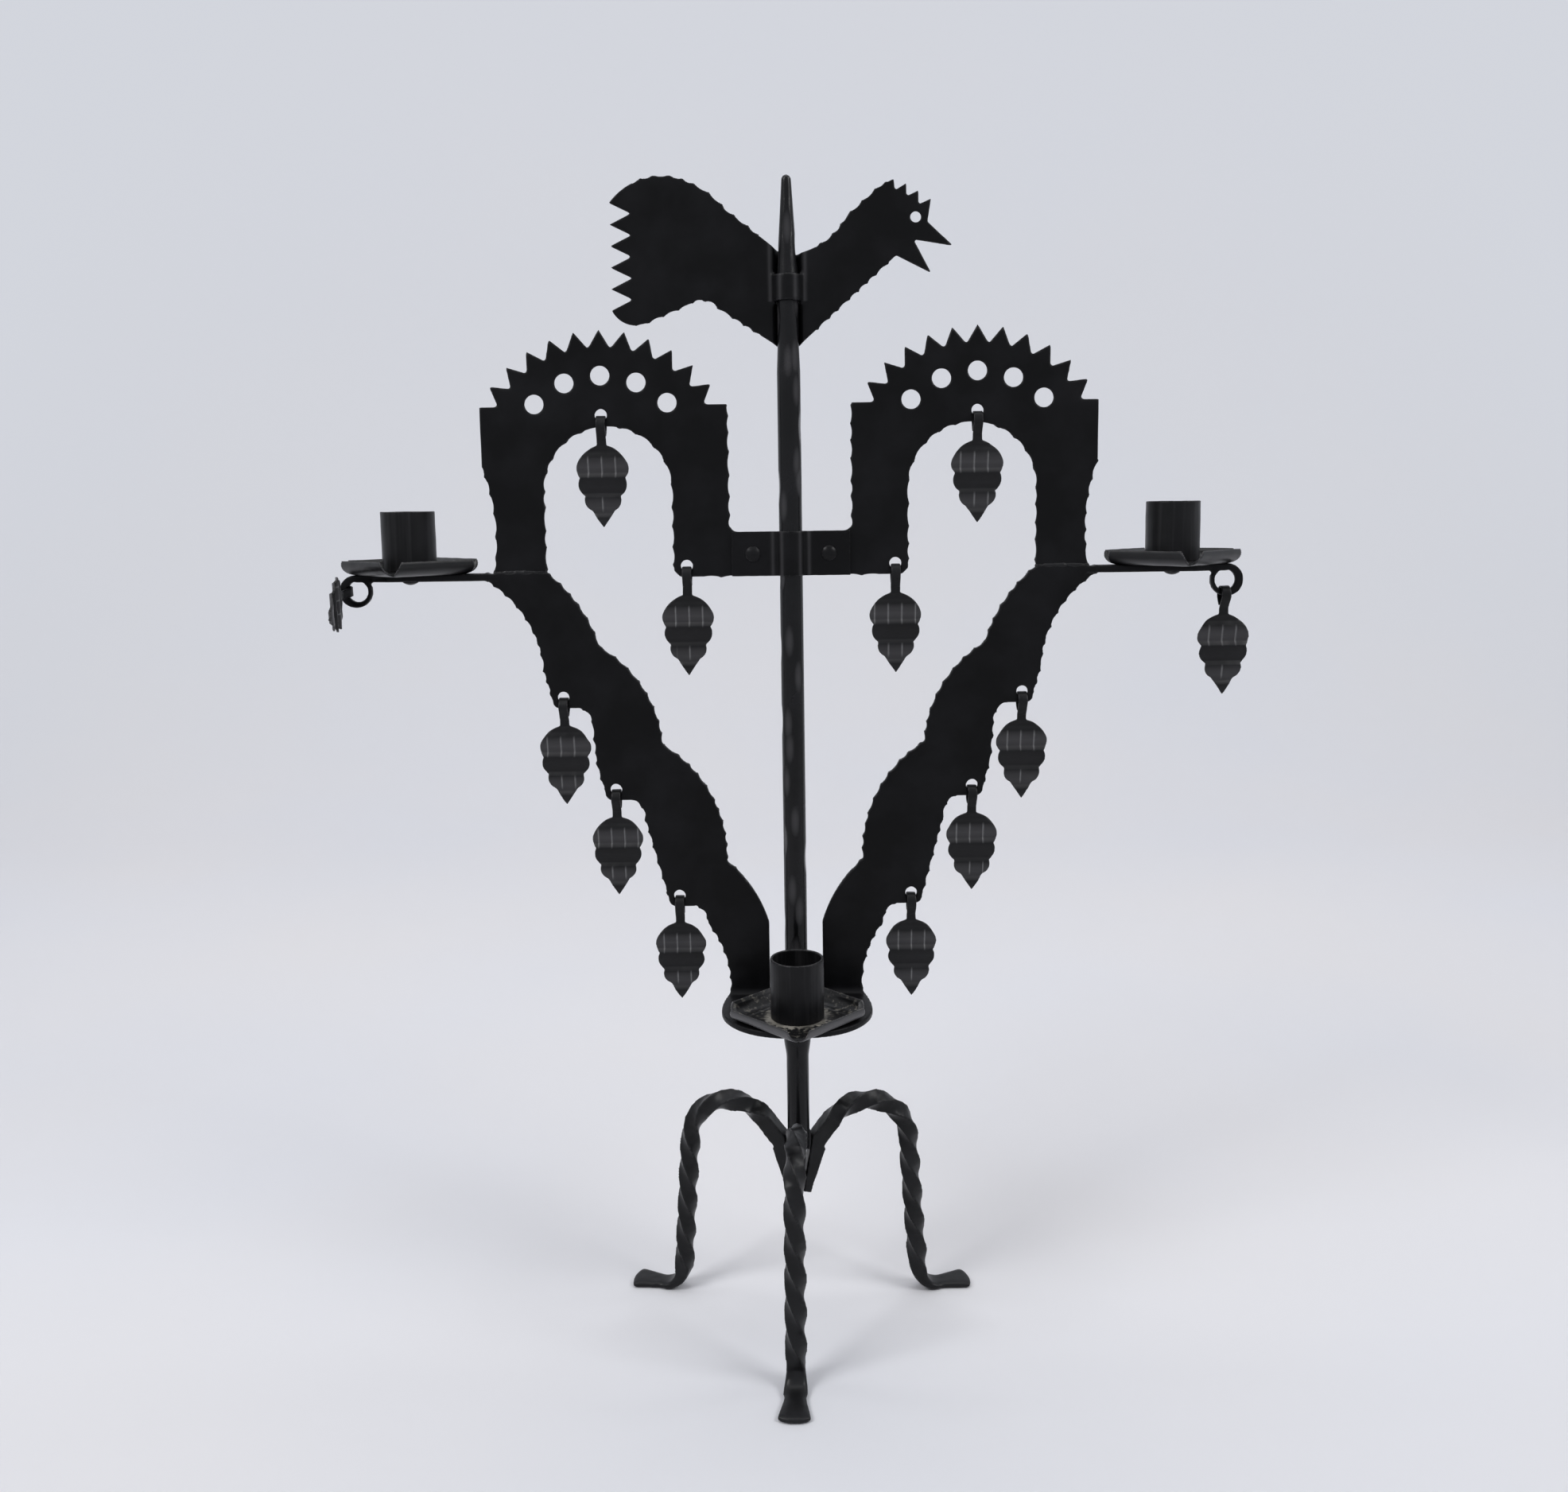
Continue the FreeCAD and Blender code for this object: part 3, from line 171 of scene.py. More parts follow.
# Stage, in metres
SWEEP_FRONT, SWEEP_BACK, SWEEP_HALF = 3.0, 0.9, 3.5  # paper before and behind the object, and to each side
SWEEP_BEND, SWEEP_HEIGHT, SWEEP_STEPS = 0.8, 3.0, 16  # its bend's radius, its height, steps of the bend
PAPER_CLOUD_MM = 400  # size of the bluer patches of the paper
PAPER_ROUGHNESS, PAPER_GLOSS = 0.95, 0.1
PAPER_FADE = {"From Min": 1.3, "From Max": 2.3}  # distance at which the paper goes over to the sky
SKY_LIGHT, SKY_SEEN = 0.2, 0.88  # strength of the sky as light on the object, and as seen or reflected
WALL_Y = SWEEP_BACK + SWEEP_BEND
OBJECT_MIDDLE = (0.0, 0.0, 0.3)
LAMPS = (  # name, place, what it is aimed at, width and depth, watts
    ("key", (-1.3, -0.9, 1.7), OBJECT_MIDDLE, (0.8, 0.8), 19.0),
    ("fill", (1.4, -0.7, 1.5), OBJECT_MIDDLE, (0.8, 0.8), 14.0),
    ("top", (0.0, 0.2, 2.2), OBJECT_MIDDLE, (1.6, 1.6), 13.0),
    ("wall left", (-1.7, 0.5, 2.0), (-1.3, WALL_Y, 1.3), (0.6, 1.2), 9.0),
    ("wall right", (1.7, 0.5, 2.0), (1.3, WALL_Y, 1.3), (0.6, 1.2), 9.0),
)
PHOTO_WIDTH = 1972  # pixels
SENSOR_MM, CLIP_START = 36.0, 0.01


# What a user would change

class ForgeSizes(bpy.types.PropertyGroup):
    """How deep and how close together the hammer's marks are."""
    edge_pitch: FloatProperty(
        name="Edge pitch", default=6.8,
        description="Distance between blows on the arms and the rooster, in mm")
    arch_pitch: FloatProperty(
        name="Arch pitch", default=9.0, description="Distance between blows on the arches, in mm")
    edge_depth: FloatProperty(
        name="Edge depth", default=0.9, description="Depth of the hammer marks on sheet edges, in mm")
    facet_pitch: FloatProperty(
        name="Facet pitch", default=8.5, description="Height from flat to flat up the stem, in mm")
    facet_depth: FloatProperty(
        name="Facet depth", default=0.45, description="Depth of the flats on the stem, in mm")
    sheet_wave: FloatProperty(
        name="Sheet wave", default=0.25, description="Unevenness of the sheets' faces, in mm")


class PaintColours(bpy.types.PropertyGroup):
    """Colours as sRGB hex values."""
    paint: StringProperty(name="Paint", default="0d0d0e", description="Satin black paint")
    paint_dust: StringProperty(
        name="Dusty paint", default="161618", description="Paint dulled by handling")
    # This grey is thin paint on edges and in the tube's streaks; it is also laid as painted highlights on
    # the stem's flats, the bends, the leaf bands, the rivet rims and the front pan's outside.
    rubbed: StringProperty(
        name="Rubbed edges and painted highlights", default="59585a", description="Iron where the paint is thin, and painted highlights")
    scratch: StringProperty(
        name="Scratches", default="7f7f80", description="Scored lines on the leaves")
    wax: StringProperty(
        name="Wax", default="9a968d", description="Candle wax left in the front pan")
    floor: StringProperty(name="Floor", default="e6e4e5", description="Pale studio paper")
    floor_cool: StringProperty(
        name="Floor, cool", default="dfe2ea", description="Bluer patches of the paper, and the sky")


class ViewSettings(bpy.types.PropertyGroup):
    """The photograph's viewpoint."""
    distance: FloatProperty(
        name="Distance", default=0.628, unit="LENGTH", description="Camera in front of the stem")
    height: FloatProperty(
        name="Height", default=0.401, unit="LENGTH", description="Camera over the floor")
    side: FloatProperty(
        name="Side", default=-0.004, unit="LENGTH", description="Camera to the right of the stem")
    pitch: FloatProperty(
        name="Pitch", default=math.radians(6.5), subtype="ANGLE", description="Camera tilted down")
    roll: FloatProperty(
        name="Roll", default=math.radians(-0.8), subtype="ANGLE",
        description="Camera turned about its axis")
    focal: FloatProperty(
        name="Focal length", default=1660.0, description="In pixels of the photograph")
    shift: FloatProperty(name="Shift", default=-0.056, description="Vertical shift of the picture")


class CandelabraSettings(bpy.types.PropertyGroup):
    """All that a user would change."""
    forge: PointerProperty(type=ForgeSizes)
    colours: PointerProperty(type=PaintColours)
    view: PointerProperty(type=ViewSettings)


def settings():
    """The scene's own settings of this add-on."""
    return bpy.context.scene.candelabra


# Materials

def linear(hex_value):
    """An sRGB hex value as linear RGBA."""
    channels = [int(hex_value[k:k + 2], 16) / 255 for k in (0, 2, 4)]
    return [c / 12.92 if c <= 0.04045 else ((c + 0.055) / 1.055) ** 2.4 for c in channels] + [1.0]


def per_mm(millimetres):
    """Texture scale whose features are this far apart in object space, which is in metres."""
    return 1 / (millimetres * MM)


def add(tree, kind, links=None, **values):
    """A node with its settings; links map input names or numbers to output sockets or values."""
    node = tree.nodes.new("ShaderNode" + kind)
    for name, value in values.items():
        setattr(node, name, value)
    for name, source in (links or {}).items():
        if isinstance(source, bpy.types.NodeSocket):
            tree.links.new(source, node.inputs[name])
        else:
            node.inputs[name].default_value = source
    return node


def black_paint_on_iron(name, mark_mm, mark_depth_mm, rubbed=0.5, gloss=0.5, dull=(0.30, 0.46)):
    """Satin black paint brushed on hammered iron: soft broad gloss, dull patches, grey edges where the
    paint is thin.

    The hammer's marks are mark_mm apart, rubbed is how grey the edges are (thin paint, and on the rivets
    partly a painted highlight), and dull is the roughness of the best and of the dullest patches.
    """
    colours = settings().colours
    material = bpy.data.materials.new(name)
    material.use_nodes = True
    tree = material.node_tree
    shader = tree.nodes["Principled BSDF"]
    place = add(tree, "TexCoord").outputs["Object"]
    patches = add(tree, "TexNoise", {
        "Vector": place, "Scale": per_mm(PATCH_MM), "Detail": 5.0}).outputs["Fac"]
    grain = add(tree, "TexNoise", {
        "Vector": place, "Scale": per_mm(GRAIN_MM), "Detail": 3.0}).outputs["Fac"]
    dust = add(tree, "MapRange", {"Value": patches, **DUSTY}).outputs[0]
    coat = add(tree, "MixRGB", {
        "Fac": dust, "Color1": linear(colours.paint), "Color2": linear(colours.paint_dust)})
    tree.links.new(coat.outputs[0], shader.inputs["Base Color"])
    pointed = add(tree, "NewGeometry").outputs["Pointiness"]
    # Grey on the sharpest edges: thin paint, and on the rivets, where it is strongest, partly a painted
    # highlight round the rims.
    worn_and_lit_edges = add(tree, "MapRange", {"Value": pointed, **ON_EDGES}).outputs[0]
    broken = add(tree, "MapRange", {"Value": grain, **BROKEN_UP}).outputs[0]
    for share in (broken, rubbed):
        worn_and_lit_edges = add(tree, "Math", {0: worn_and_lit_edges, 1: share}, operation="MULTIPLY").outputs[0]
    over_paint(material, worn_and_lit_edges, colours.rubbed)
    rough = add(tree, "MapRange", {
        "Value": patches, **DULLED, "To Min": dull[0], "To Max": dull[1]})
    tree.links.new(rough.outputs[0], shader.inputs["Roughness"])
    shader.inputs["Specular IOR Level"].default_value = gloss
    marks = add(tree, "TexVoronoi", {
        "Vector": place, "Scale": per_mm(mark_mm), "Smoothness": 0.6}, feature="SMOOTH_F1")
    dents = add(tree, "Bump", {
        "Height": marks.outputs["Distance"], "Distance": mark_depth_mm * MM, "Strength": 0.6})
    brushed = add(tree, "Bump", {
        "Height": grain, "Distance": BRUSH_DEPTH_MM * MM, "Strength": 0.5,
        "Normal": dents.outputs[0]})
    tree.links.new(brushed.outputs[0], shader.inputs["Normal"])
    return material


def over_paint(material, mask, hex_value):
    """Lay another colour over a material's paint where the mask is."""
    tree = material.node_tree
    shader = tree.nodes["Principled BSDF"]
    under = shader.inputs["Base Color"].links[0].from_socket
    mixed = add(tree, "MixRGB", {"Fac": mask, "Color1": under, "Color2": linear(hex_value)})
    tree.links.new(mixed.outputs[0], shader.inputs["Base Color"])


def painted(name, dress=None, **coat):
    """The paint of this name, made once; dress adds what lies over it."""
    material = bpy.data.materials.get(name)
    if material is None:
        material = black_paint_on_iron(name, **coat)
        if dress:
            dress(material)
    return material


def rub(material):
    """Lay the grey as painted highlights where the mesh is marked."""
    marked = add(material.node_tree, "Attribute", attribute_name=HIGHLIGHT_MARK).outputs["Fac"]
    over_paint(material, marked, settings().colours.rubbed)


def paint_highlight_and_score(material):
    """Lay the grey as painted highlights, and score pale veins, where the mesh is marked."""
    rub(material)
    marked = add(material.node_tree, "Attribute", attribute_name=VEIN_MARK).outputs["Fac"]
    over_paint(material, marked, settings().colours.scratch)


def streak(material):
    """Draw faint upright streaks under the paint of a tube."""
    tree = material.node_tree
    place = add(tree, "TexCoord").outputs["Object"]
    run = add(tree, "Mapping", {
        "Vector": place,
        "Scale": (per_mm(STREAK_MM), per_mm(STREAK_MM), per_mm(STREAK_LENGTH_MM))}).outputs[0]
    streaks = add(tree, "TexNoise", {"Vector": run, "Scale": 1.0, "Detail": 2.0}).outputs["Fac"]
    streaks = add(tree, "MapRange", {"Value": streaks, **STREAKED}).outputs[0]
    faint = add(tree, "Math", {0: streaks, 1: STREAK_RUB}, operation="MULTIPLY").outputs[0]
    over_paint(material, faint, settings().colours.rubbed)


def wax(material):
    """Lay specks and a thinned ring of old wax round the front socket, and paint a grey sheen on the pan's
    outside.
    """
    tree = material.node_tree
    low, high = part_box("socket_front")
    middle = (low + high) / 2
    place = add(tree, "TexCoord").outputs["Object"]
    specks = add(tree, "TexNoise", {
        "Vector": place, "Scale": per_mm(SPECK_MM), "Detail": 4.0}).outputs["Fac"]
    smears = add(tree, "TexNoise", {
        "Vector": place, "Scale": per_mm(SMEAR_MM), "Detail": 3.0}).outputs["Fac"]
    flat = add(tree, "VectorMath", {0: place, 1: (1.0, 1.0, 0.0)}, operation="MULTIPLY").outputs[0]
    away = add(tree, "VectorMath", {0: flat, 1: (middle.x, middle.y, 0.0)}, operation="DISTANCE")
    near = add(tree, "MapRange", {
        "Value": away.outputs["Value"], "From Min": WAX_RING_MM[0] * MM,
        "From Max": WAX_RING_MM[1] * MM, "To Min": WAX_RING, "To Max": 0.0}).outputs[0]
    cover = add(tree, "Math", {0: specks, 1: near}, operation="ADD").outputs[0]
    cover = add(tree, "MapRange", {"Value": cover, **WAXED}).outputs[0]
    up = add(tree, "SeparateXYZ", {0: add(tree, "NewGeometry").outputs["Normal"]}).outputs["Z"]
    for source, span in ((smears, SMEARED), (up, FACES_UP)):
        share = add(tree, "MapRange", {"Value": source, **span}).outputs[0]
        cover = add(tree, "Math", {0: cover, 1: share}, operation="MULTIPLY").outputs[0]
    over_paint(material, cover, settings().colours.wax)
    # painted sheen: the pan's faces that turn out and down are greyed
    outside = add(tree, "MapRange", {"Value": up, **FACES_OUT}).outputs[0]
    rim = add(tree, "Math", {0: outside, 1: RIM_SHEEN}, operation="MULTIPLY").outputs[0]
    over_paint(material, rim, settings().colours.rubbed)


def sheet_paint():
    """Flat sheet, planished: wide shallow marks."""
    return painted("black paint on planished sheet iron", mark_mm=7.0, mark_depth_mm=0.25, gloss=0.11)


def stem_paint():
    """Round bar drawn out under the hammer: its flats are smooth, with painted highlights where it is
    marked.
    """
    return painted(
        "black paint on drawn round bar", rub,
        mark_mm=5.0, mark_depth_mm=0.12, gloss=0.22, dull=(0.18, 0.30))


def bent_paint():
    """Sheet bent round the stem: painted highlights lie where the bends are marked."""
    return painted("black paint on bent sheet iron", rub, mark_mm=7.0, mark_depth_mm=0.25, gloss=0.11)


def bar_paint():
    """Twisted square bar: closer, deeper marks and more gloss than on sheet."""
    return painted("black paint on twisted square bar", mark_mm=5.0, mark_depth_mm=0.30, gloss=0.24)


def rivet_paint():
    """Rivet heads, flattened by the hammer, with grey round their rims: paint thinned there, and partly a
    painted highlight.
    """
    return painted(
        "black paint on iron rivets", mark_mm=4.0, mark_depth_mm=0.10, rubbed=1.0, gloss=0.16)


def pan_paint():
    """Thin sheet of the side pans, with more gloss than the other sheets."""
    return painted(
        "black paint on thin sheet iron", mark_mm=9.0, mark_depth_mm=0.15, rubbed=0.8, gloss=0.34)


def waxed_paint():
    """The front pan's paint, with old wax on it."""
    return painted(
        "black paint under old candle wax", wax, mark_mm=9.0, mark_depth_mm=0.15, rubbed=0.9)


def socket_paint():
    """Drawn tube, with faint upright streaks under the paint."""
    return painted(
        "black paint on drawn iron tube", streak,
        mark_mm=9.0, mark_depth_mm=0.1, rubbed=0.8, gloss=0.18)


def leaf_paint():
    """Leaf paint with painted highlights on its bands, and pale veins scored down the blade."""
    return painted(
        "black paint on scored leaf iron", paint_highlight_and_score,
        mark_mm=3.5, mark_depth_mm=0.18, rubbed=0.7, gloss=0.20)


def seen_rays(tree):
    """1 for rays from the camera, off gloss and through glass, which show the background."""
    path = add(tree, "LightPath").outputs
    seen = path["Is Camera Ray"]
    for kind in ("Is Glossy Ray", "Is Transmission Ray"):
        seen = add(tree, "Math", {0: seen, 1: path[kind]}, operation="MAXIMUM").outputs[0]
    return seen


def studio_paper():
    """Matt pale grey paper, faintly uneven, as a studio sweep is; far off it goes over to the pale sky."""
    material = bpy.data.materials.new("matt studio paper")
    material.use_nodes = True
    tree = material.node_tree
    shader = tree.nodes["Principled BSDF"]
    place = add(tree, "TexCoord").outputs["Object"]
    cloud = add(tree, "TexNoise", {
        "Vector": place, "Scale": per_mm(PAPER_CLOUD_MM), "Detail": 2.0}).outputs["Fac"]
    colours = settings().colours
    mixed = add(tree, "MixRGB", {
        "Fac": cloud, "Color1": linear(colours.floor), "Color2": linear(colours.floor_cool)})
    tree.links.new(mixed.outputs[0], shader.inputs["Base Color"])
    shader.inputs["Roughness"].default_value = PAPER_ROUGHNESS
    shader.inputs["Specular IOR Level"].default_value = PAPER_GLOSS
    away = add(tree, "VectorMath", {0: place}, operation="LENGTH").outputs["Value"]
    faded = add(tree, "MapRange", {"Value": away, **PAPER_FADE}).outputs[0]
    far = add(tree, "Math", {0: faded, 1: seen_rays(tree)}, operation="MULTIPLY")
    pale = add(tree, "Emission", {"Color": linear(colours.floor_cool), "Strength": SKY_SEEN})
    whole = add(tree, "MixShader", {0: far.outputs[0], 1: shader.outputs[0], 2: pale.outputs[0]})
    tree.links.new(whole.outputs[0], tree.nodes["Material Output"].inputs["Surface"])
    return material


# Working the frame's shapes

def worked_copy(node, voxel_mm, smooth=0, burrs=()):
    """A copy of a node's mesh, with burrs at these places, in an even skin that the hammer can mark."""
    source = frame["nodes"][node]
    mesh = source.data.copy()
    mesh.materials.clear()
    welded = bmesh.new()
    welded.from_mesh(mesh)
    bmesh.ops.remove_doubles(welded, verts=welded.verts, dist=MERGE_MM * MM)
    for spot in burrs:
        bmesh.ops.create_icosphere(
            welded, subdivisions=BLOB_TURNS, radius=BURR_MM * MM, matrix=Matrix.Translation(spot))
    welded.to_mesh(mesh)
    welded.free()
    piece = bpy.data.objects.new("forged_" + node, mesh)
    bpy.context.scene.collection.objects.link(piece)
    fuse_skin(piece, voxel_mm, smooth)
    return piece


def fuse_skin(piece, voxel_mm, smooth):
    """Give a piece one even skin of small faces, smoothed as many times as asked."""
    skin = piece.modifiers.new("skin", "REMESH")
    skin.mode = "VOXEL"
    skin.voxel_size = voxel_mm * MM
    skin.use_smooth_shade = True
    if smooth:
        soft = piece.modifiers.new("soft", "SMOOTH")
        soft.factor = SOFTEN
        soft.iterations = smooth
    graph = bpy.context.evaluated_depsgraph_get()
    piece.data = bpy.data.meshes.new_from_object(piece.evaluated_get(graph))
    piece.modifiers.clear()


def move_points(piece, places):
    """Put each point of a piece in its new place, in metres."""
    for vertex, place in zip(piece.data.vertices, places):
        vertex.co = place
    piece.data.update()


def mark_points(piece, mark, amounts):
    """Write down how strong a mark is at each point, from 0 to 1, for the paint to read: a painted
    highlight or a scored vein.
    """
    marks = piece.data.attributes.new(mark, "FLOAT", "POINT")
    marks.data.foreach_set("value", amounts)


def hammer(piece, dent):
    """Move each point along its normal by what dent gives for its place and normal, in mm."""
    move_points(piece, [
        v.co + v.normal * dent(v.co / MM, v.normal) * MM for v in piece.data.vertices])


def dimple(place, pitch, depth):
    """How round hammer marks move a place, in mm: most in the middle of a mark, not at all between."""
    return (min(1.0, DIMPLE_RISE * noise.voronoi(place / pitch)[0][0]) - 1) * depth


def outlines(node):
    """Runs of edge pieces round a sheet's front face: start, end and outward way in X and Z, in mm."""
    welded = bmesh.new()
    welded.from_mesh(frame["nodes"][node].data)
    bmesh.ops.remove_doubles(welded, verts=welded.verts, dist=MERGE_MM * MM)
    links = {}
    for edge in welded.edges:
        faces = sorted(edge.link_faces, key=lambda face: face.normal.y)
        if len(faces) == 2 and faces[0].normal.y < -FLAT_FACE and abs(faces[1].normal.y) < EDGE_WALL:
            out = Vector((faces[1].normal.x, faces[1].normal.z)).normalized()
            for start, end in (edge.verts, reversed(edge.verts)):
                links.setdefault(start, []).append((end, out))
    runs = []
    while links:
        here = min(links, key=lambda v: (len(links[v]), v.index))
        run = []
        while links.get(here):
            after, out = links[here].pop()
            links[after].remove((here, out))
            run.append((Vector(here.co.xz) / MM, Vector(after.co.xz) / MM, out))
            here = after
        runs.append(run)
        links = {v: ends for v, ends in links.items() if ends}
    welded.free()
    return runs


def clean_spots():
    """Places in X and Z that the hammer keeps off: the holes that the leaves hang in, in mm."""
    return [Vector((joint["pos_m"][0], joint["pos_m"][2])) / MM for joint in frame["joints"]]


def scallops(node, seed, plain, pitch):
    """How blows along a sheet's edges move them: places to find the nearest of, and their shifts in mm."""
    depth = settings().forge.edge_depth
    holes = clean_spots()
    spots, shifts = [], []
    for run in outlines(node):
        length = sum((end - start).length for start, end, _ in run)
        if length < SHORT_RUN_MM:
            continue
        marks, reach = [], 0.0
        while reach < length:
            chance = noise.cell(Vector((
                len(marks) * BLOW_DRAW + 0.5, seed * SHEET_DRAW, len(spots) * RUN_DRAW)))
            reach += pitch * (1 + BLOW_SPREAD * chance)
            marks.append(reach)
        gone, turn = 0.0, 0
        for start, end, out in run:
            step = (end - start).length
            count = max(1, round(step / RUN_STEP_MM))
            for k in range(count):
                share = (k + 0.5) / count
                while turn < len(marks) - 1 and marks[turn] < gone + share * step:
                    turn += 1
                before = marks[turn - 1] if turn else 0.0
                phase = (gone + share * step - before) / (marks[turn] - before)
                spot = start.lerp(end, share)
                clear = min((spot - hole).length for hole in holes)
                crisp = plain(Vector((spot.x, 0, spot.y))) or clear < HOLE_CLEAR_MM
                bite = 0.0 if crisp else ((2 * phase - 1) ** 2 - BLOW_INSET) * depth
                spots.append(spot)
                shifts.append(out * bite)
            gone += step
    tree = kdtree.KDTree(len(spots))
    for number, spot in enumerate(spots):
        tree.insert((spot.x, 0, spot.y), number)
    tree.balance()
    return tree, shifts


def hammer_sheet(piece, node, seed, plain, pitch):
    """Scallop a sheet's edges and make its faces gently uneven; plain says what stays as it was cut."""
    wave = settings().forge.sheet_wave
    shift = SHEET_SHIFT_MM * seed
    tree, shifts = scallops(node, seed, plain, pitch)
    moves = []
    for vertex in piece.data.vertices:
        place, normal = vertex.co / MM, vertex.normal
        _, number, away = tree.find((place.x, 0, place.z))
        give = shifts[number] * max(0.0, 1 - away / EDGE_GIVE_MM)
        lift = normal * noise.noise((place + shift) / SHEET_WAVE_MM) * wave * abs(normal.y)
        moves.append((place + Vector((give.x, 0, give.y)) + lift) * MM)
    move_points(piece, moves)


def paint_bend_highlights(piece, bends):
    """Mark painted highlights along upright bends; bends gives their distances from the stem's axis, in
    mm.
    """
    amounts = []
    for vertex in piece.data.vertices:
        place = vertex.co / MM
        near = [math.exp(-((abs(place.x) - bend) / BEND_HIGHLIGHT_MM) ** 2) for bend in bends(place)]
        amounts.append(BEND_HIGHLIGHT * max(near, default=0.0))
    mark_points(piece, HIGHLIGHT_MARK, amounts)


def finish_piece(piece, node, body, material):
    """Press back what the hammer drove past the frame's box, paint the piece and put it in its place."""
    low, high = CAD_BOX
    for vertex in piece.data.vertices:
        vertex.co = [min(max(here, least), most) for here, least, most in zip(vertex.co, low, high)]
    piece.data.materials.clear()
    piece.data.materials.append(material)
    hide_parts(node)
    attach(piece, body)


def plain_crown():
    """The arches' teeth and piercings are cut, not hammered; so is what hugs the stem and the pans."""
    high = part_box("arch_right")[1] / MM
    shoulder, stem = high.z - CROWN_MM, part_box("strap_front")[1].x / MM
    return lambda place: place.z > shoulder or not stem < abs(place.x) < high.x


def plain_feathers():
    """Tail tips, comb, beak and the strip round the stem keep their cut edges."""
    low, high = (corner.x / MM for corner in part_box("rooster"))
    return lambda place: not low + TAIL_MM < place.x < high - HEAD_MM or abs(place.x) < STRIP_MM


def scoops(low, high, pitch):
    """Height and direction of each hammer flat on the stem, from the lobes up, in mm and radians."""
    count = int((high - low) / pitch)
    return [(low + pitch * (k + noise.cell(Vector((k + 0.5, *SCOOP_DRAW)))),
             2 * math.pi * noise.cell(Vector((k + 0.5, *TURN_DRAW)))) for k in range(count)]


def weld_bead(name, path, radius_mm):
    """A run of overlapping blobs of weld metal along a path, in metres."""
    blobs = bmesh.new()
    for number, spot in enumerate(path):
        swell = BEAD_END + (1 - BEAD_END) * math.sin(math.pi * (number + 0.5) / len(path))
        radius = radius_mm * MM * swell * (1 + BEAD_UNEVEN * noise.noise(spot / MM))
        bmesh.ops.create_icosphere(
            blobs, subdivisions=BLOB_TURNS, radius=radius, matrix=Matrix.Translation(spot))
    mesh = bpy.data.meshes.new(name)
    blobs.to_mesh(mesh)
    blobs.free()
    bead = bpy.data.objects.new(name, mesh)
    bpy.context.scene.collection.objects.link(bead)
    fuse_skin(bead, SKIN_MM["weld"], BEAD_SOFT_TURNS)
    bead.data.materials.append(bar_paint())
    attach(bead, "stand")


# A button for each group of pieces

class CANDELABRA_OT_stem(bpy.types.Operator):
    """Hammer the round bar of the stem into long flats"""
    bl_idname = "candelabra.stem"
    bl_label = "Stem"

    def execute(self, context):
        forge = settings().forge
        piece = worked_copy("stem", SKIN_MM["stem"])
        lobes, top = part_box("arm_right")[0].z / MM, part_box("stem")[1].z / MM
        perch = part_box("rooster")[0].z / MM
        flats = scoops(lobes, top, forge.facet_pitch)
        # painted highlight: the middle of each hammer flat is marked grey
        mark_points(piece, HIGHLIGHT_MARK, [
            FLAT_HIGHLIGHT * self.depth(v.co / MM, flats) for v in piece.data.vertices])
        hammer(piece, lambda place, normal: (
            self.swell(place.z, lobes, perch) * normal.xy.length
            - self.depth(place, flats) * forge.facet_depth))
        finish_piece(piece, "stem", "stand", stem_paint())
        return {"FINISHED"}

    def depth(self, place, flats):
        """How deep a place lies in the flats: 1 in the middle of one, 0 outside them."""
        deepest = 0.0
        for height, turn in flats:
            along = (place.z - height) / SCOOP_LENGTH_MM
            if abs(along) < 1 and place.x * math.cos(turn) + place.y * math.sin(turn) > 0:
                aside = (place.y * math.cos(turn) - place.x * math.sin(turn)) / SCOOP_WIDTH_MM
                deepest = max(deepest, 1 - along ** 2 - aside ** 2)
        return deepest

    def swell(self, height, lobes, perch):
        """How much thicker the bar is: upset below the lobes, thinned out below the rooster's perch."""
        below = lobes - height
        if below <= 0:
            return STEM_SWELL_MM * min(max((perch - height) / SWELL_FADE_MM, 0.0), 1.0)
        start, full, shoulder = UPSET_MM
        share = min(max((start - below) / (start - full), 0.0), 1.0)
        rise = (UPSET_SWELL_MM - STEM_SWELL_MM) * share ** 2 * (3 - 2 * share)
        return (STEM_SWELL_MM + rise) * min(1.0, below / shoulder)


class CANDELABRA_OT_legs(bpy.types.Operator):
    """Soften the twisted bars and the flattened feet"""
    bl_idname = "candelabra.legs"
    bl_label = "Legs"

    def execute(self, context):
        for place in PLACES:
            node = "leg_" + place
            piece = worked_copy(node, SKIN_MM["leg"], smooth=1)
            hammer(piece, lambda spot, normal: dimple(spot, *LEG_BLOWS_MM) if spot.z > SOLE_MM else 0.0)
            self.soften_feet(piece)
            finish_piece(piece, node, "stand", bar_paint())
        return {"FINISHED"}

    def soften_feet(self, piece):
        """Round the edges of a flattened foot."""
        skin = bmesh.new()
        skin.from_mesh(piece.data)
        foot = [v for v in skin.verts if v.co.z < FOOT_MM * MM]
        for _ in range(FOOT_SOFT_TURNS):
            bmesh.ops.smooth_vert(
                skin, verts=foot, factor=SOFTEN, use_axis_x=True, use_axis_y=True, use_axis_z=True)
        skin.to_mesh(piece.data)
        skin.free()
        piece.data.update()


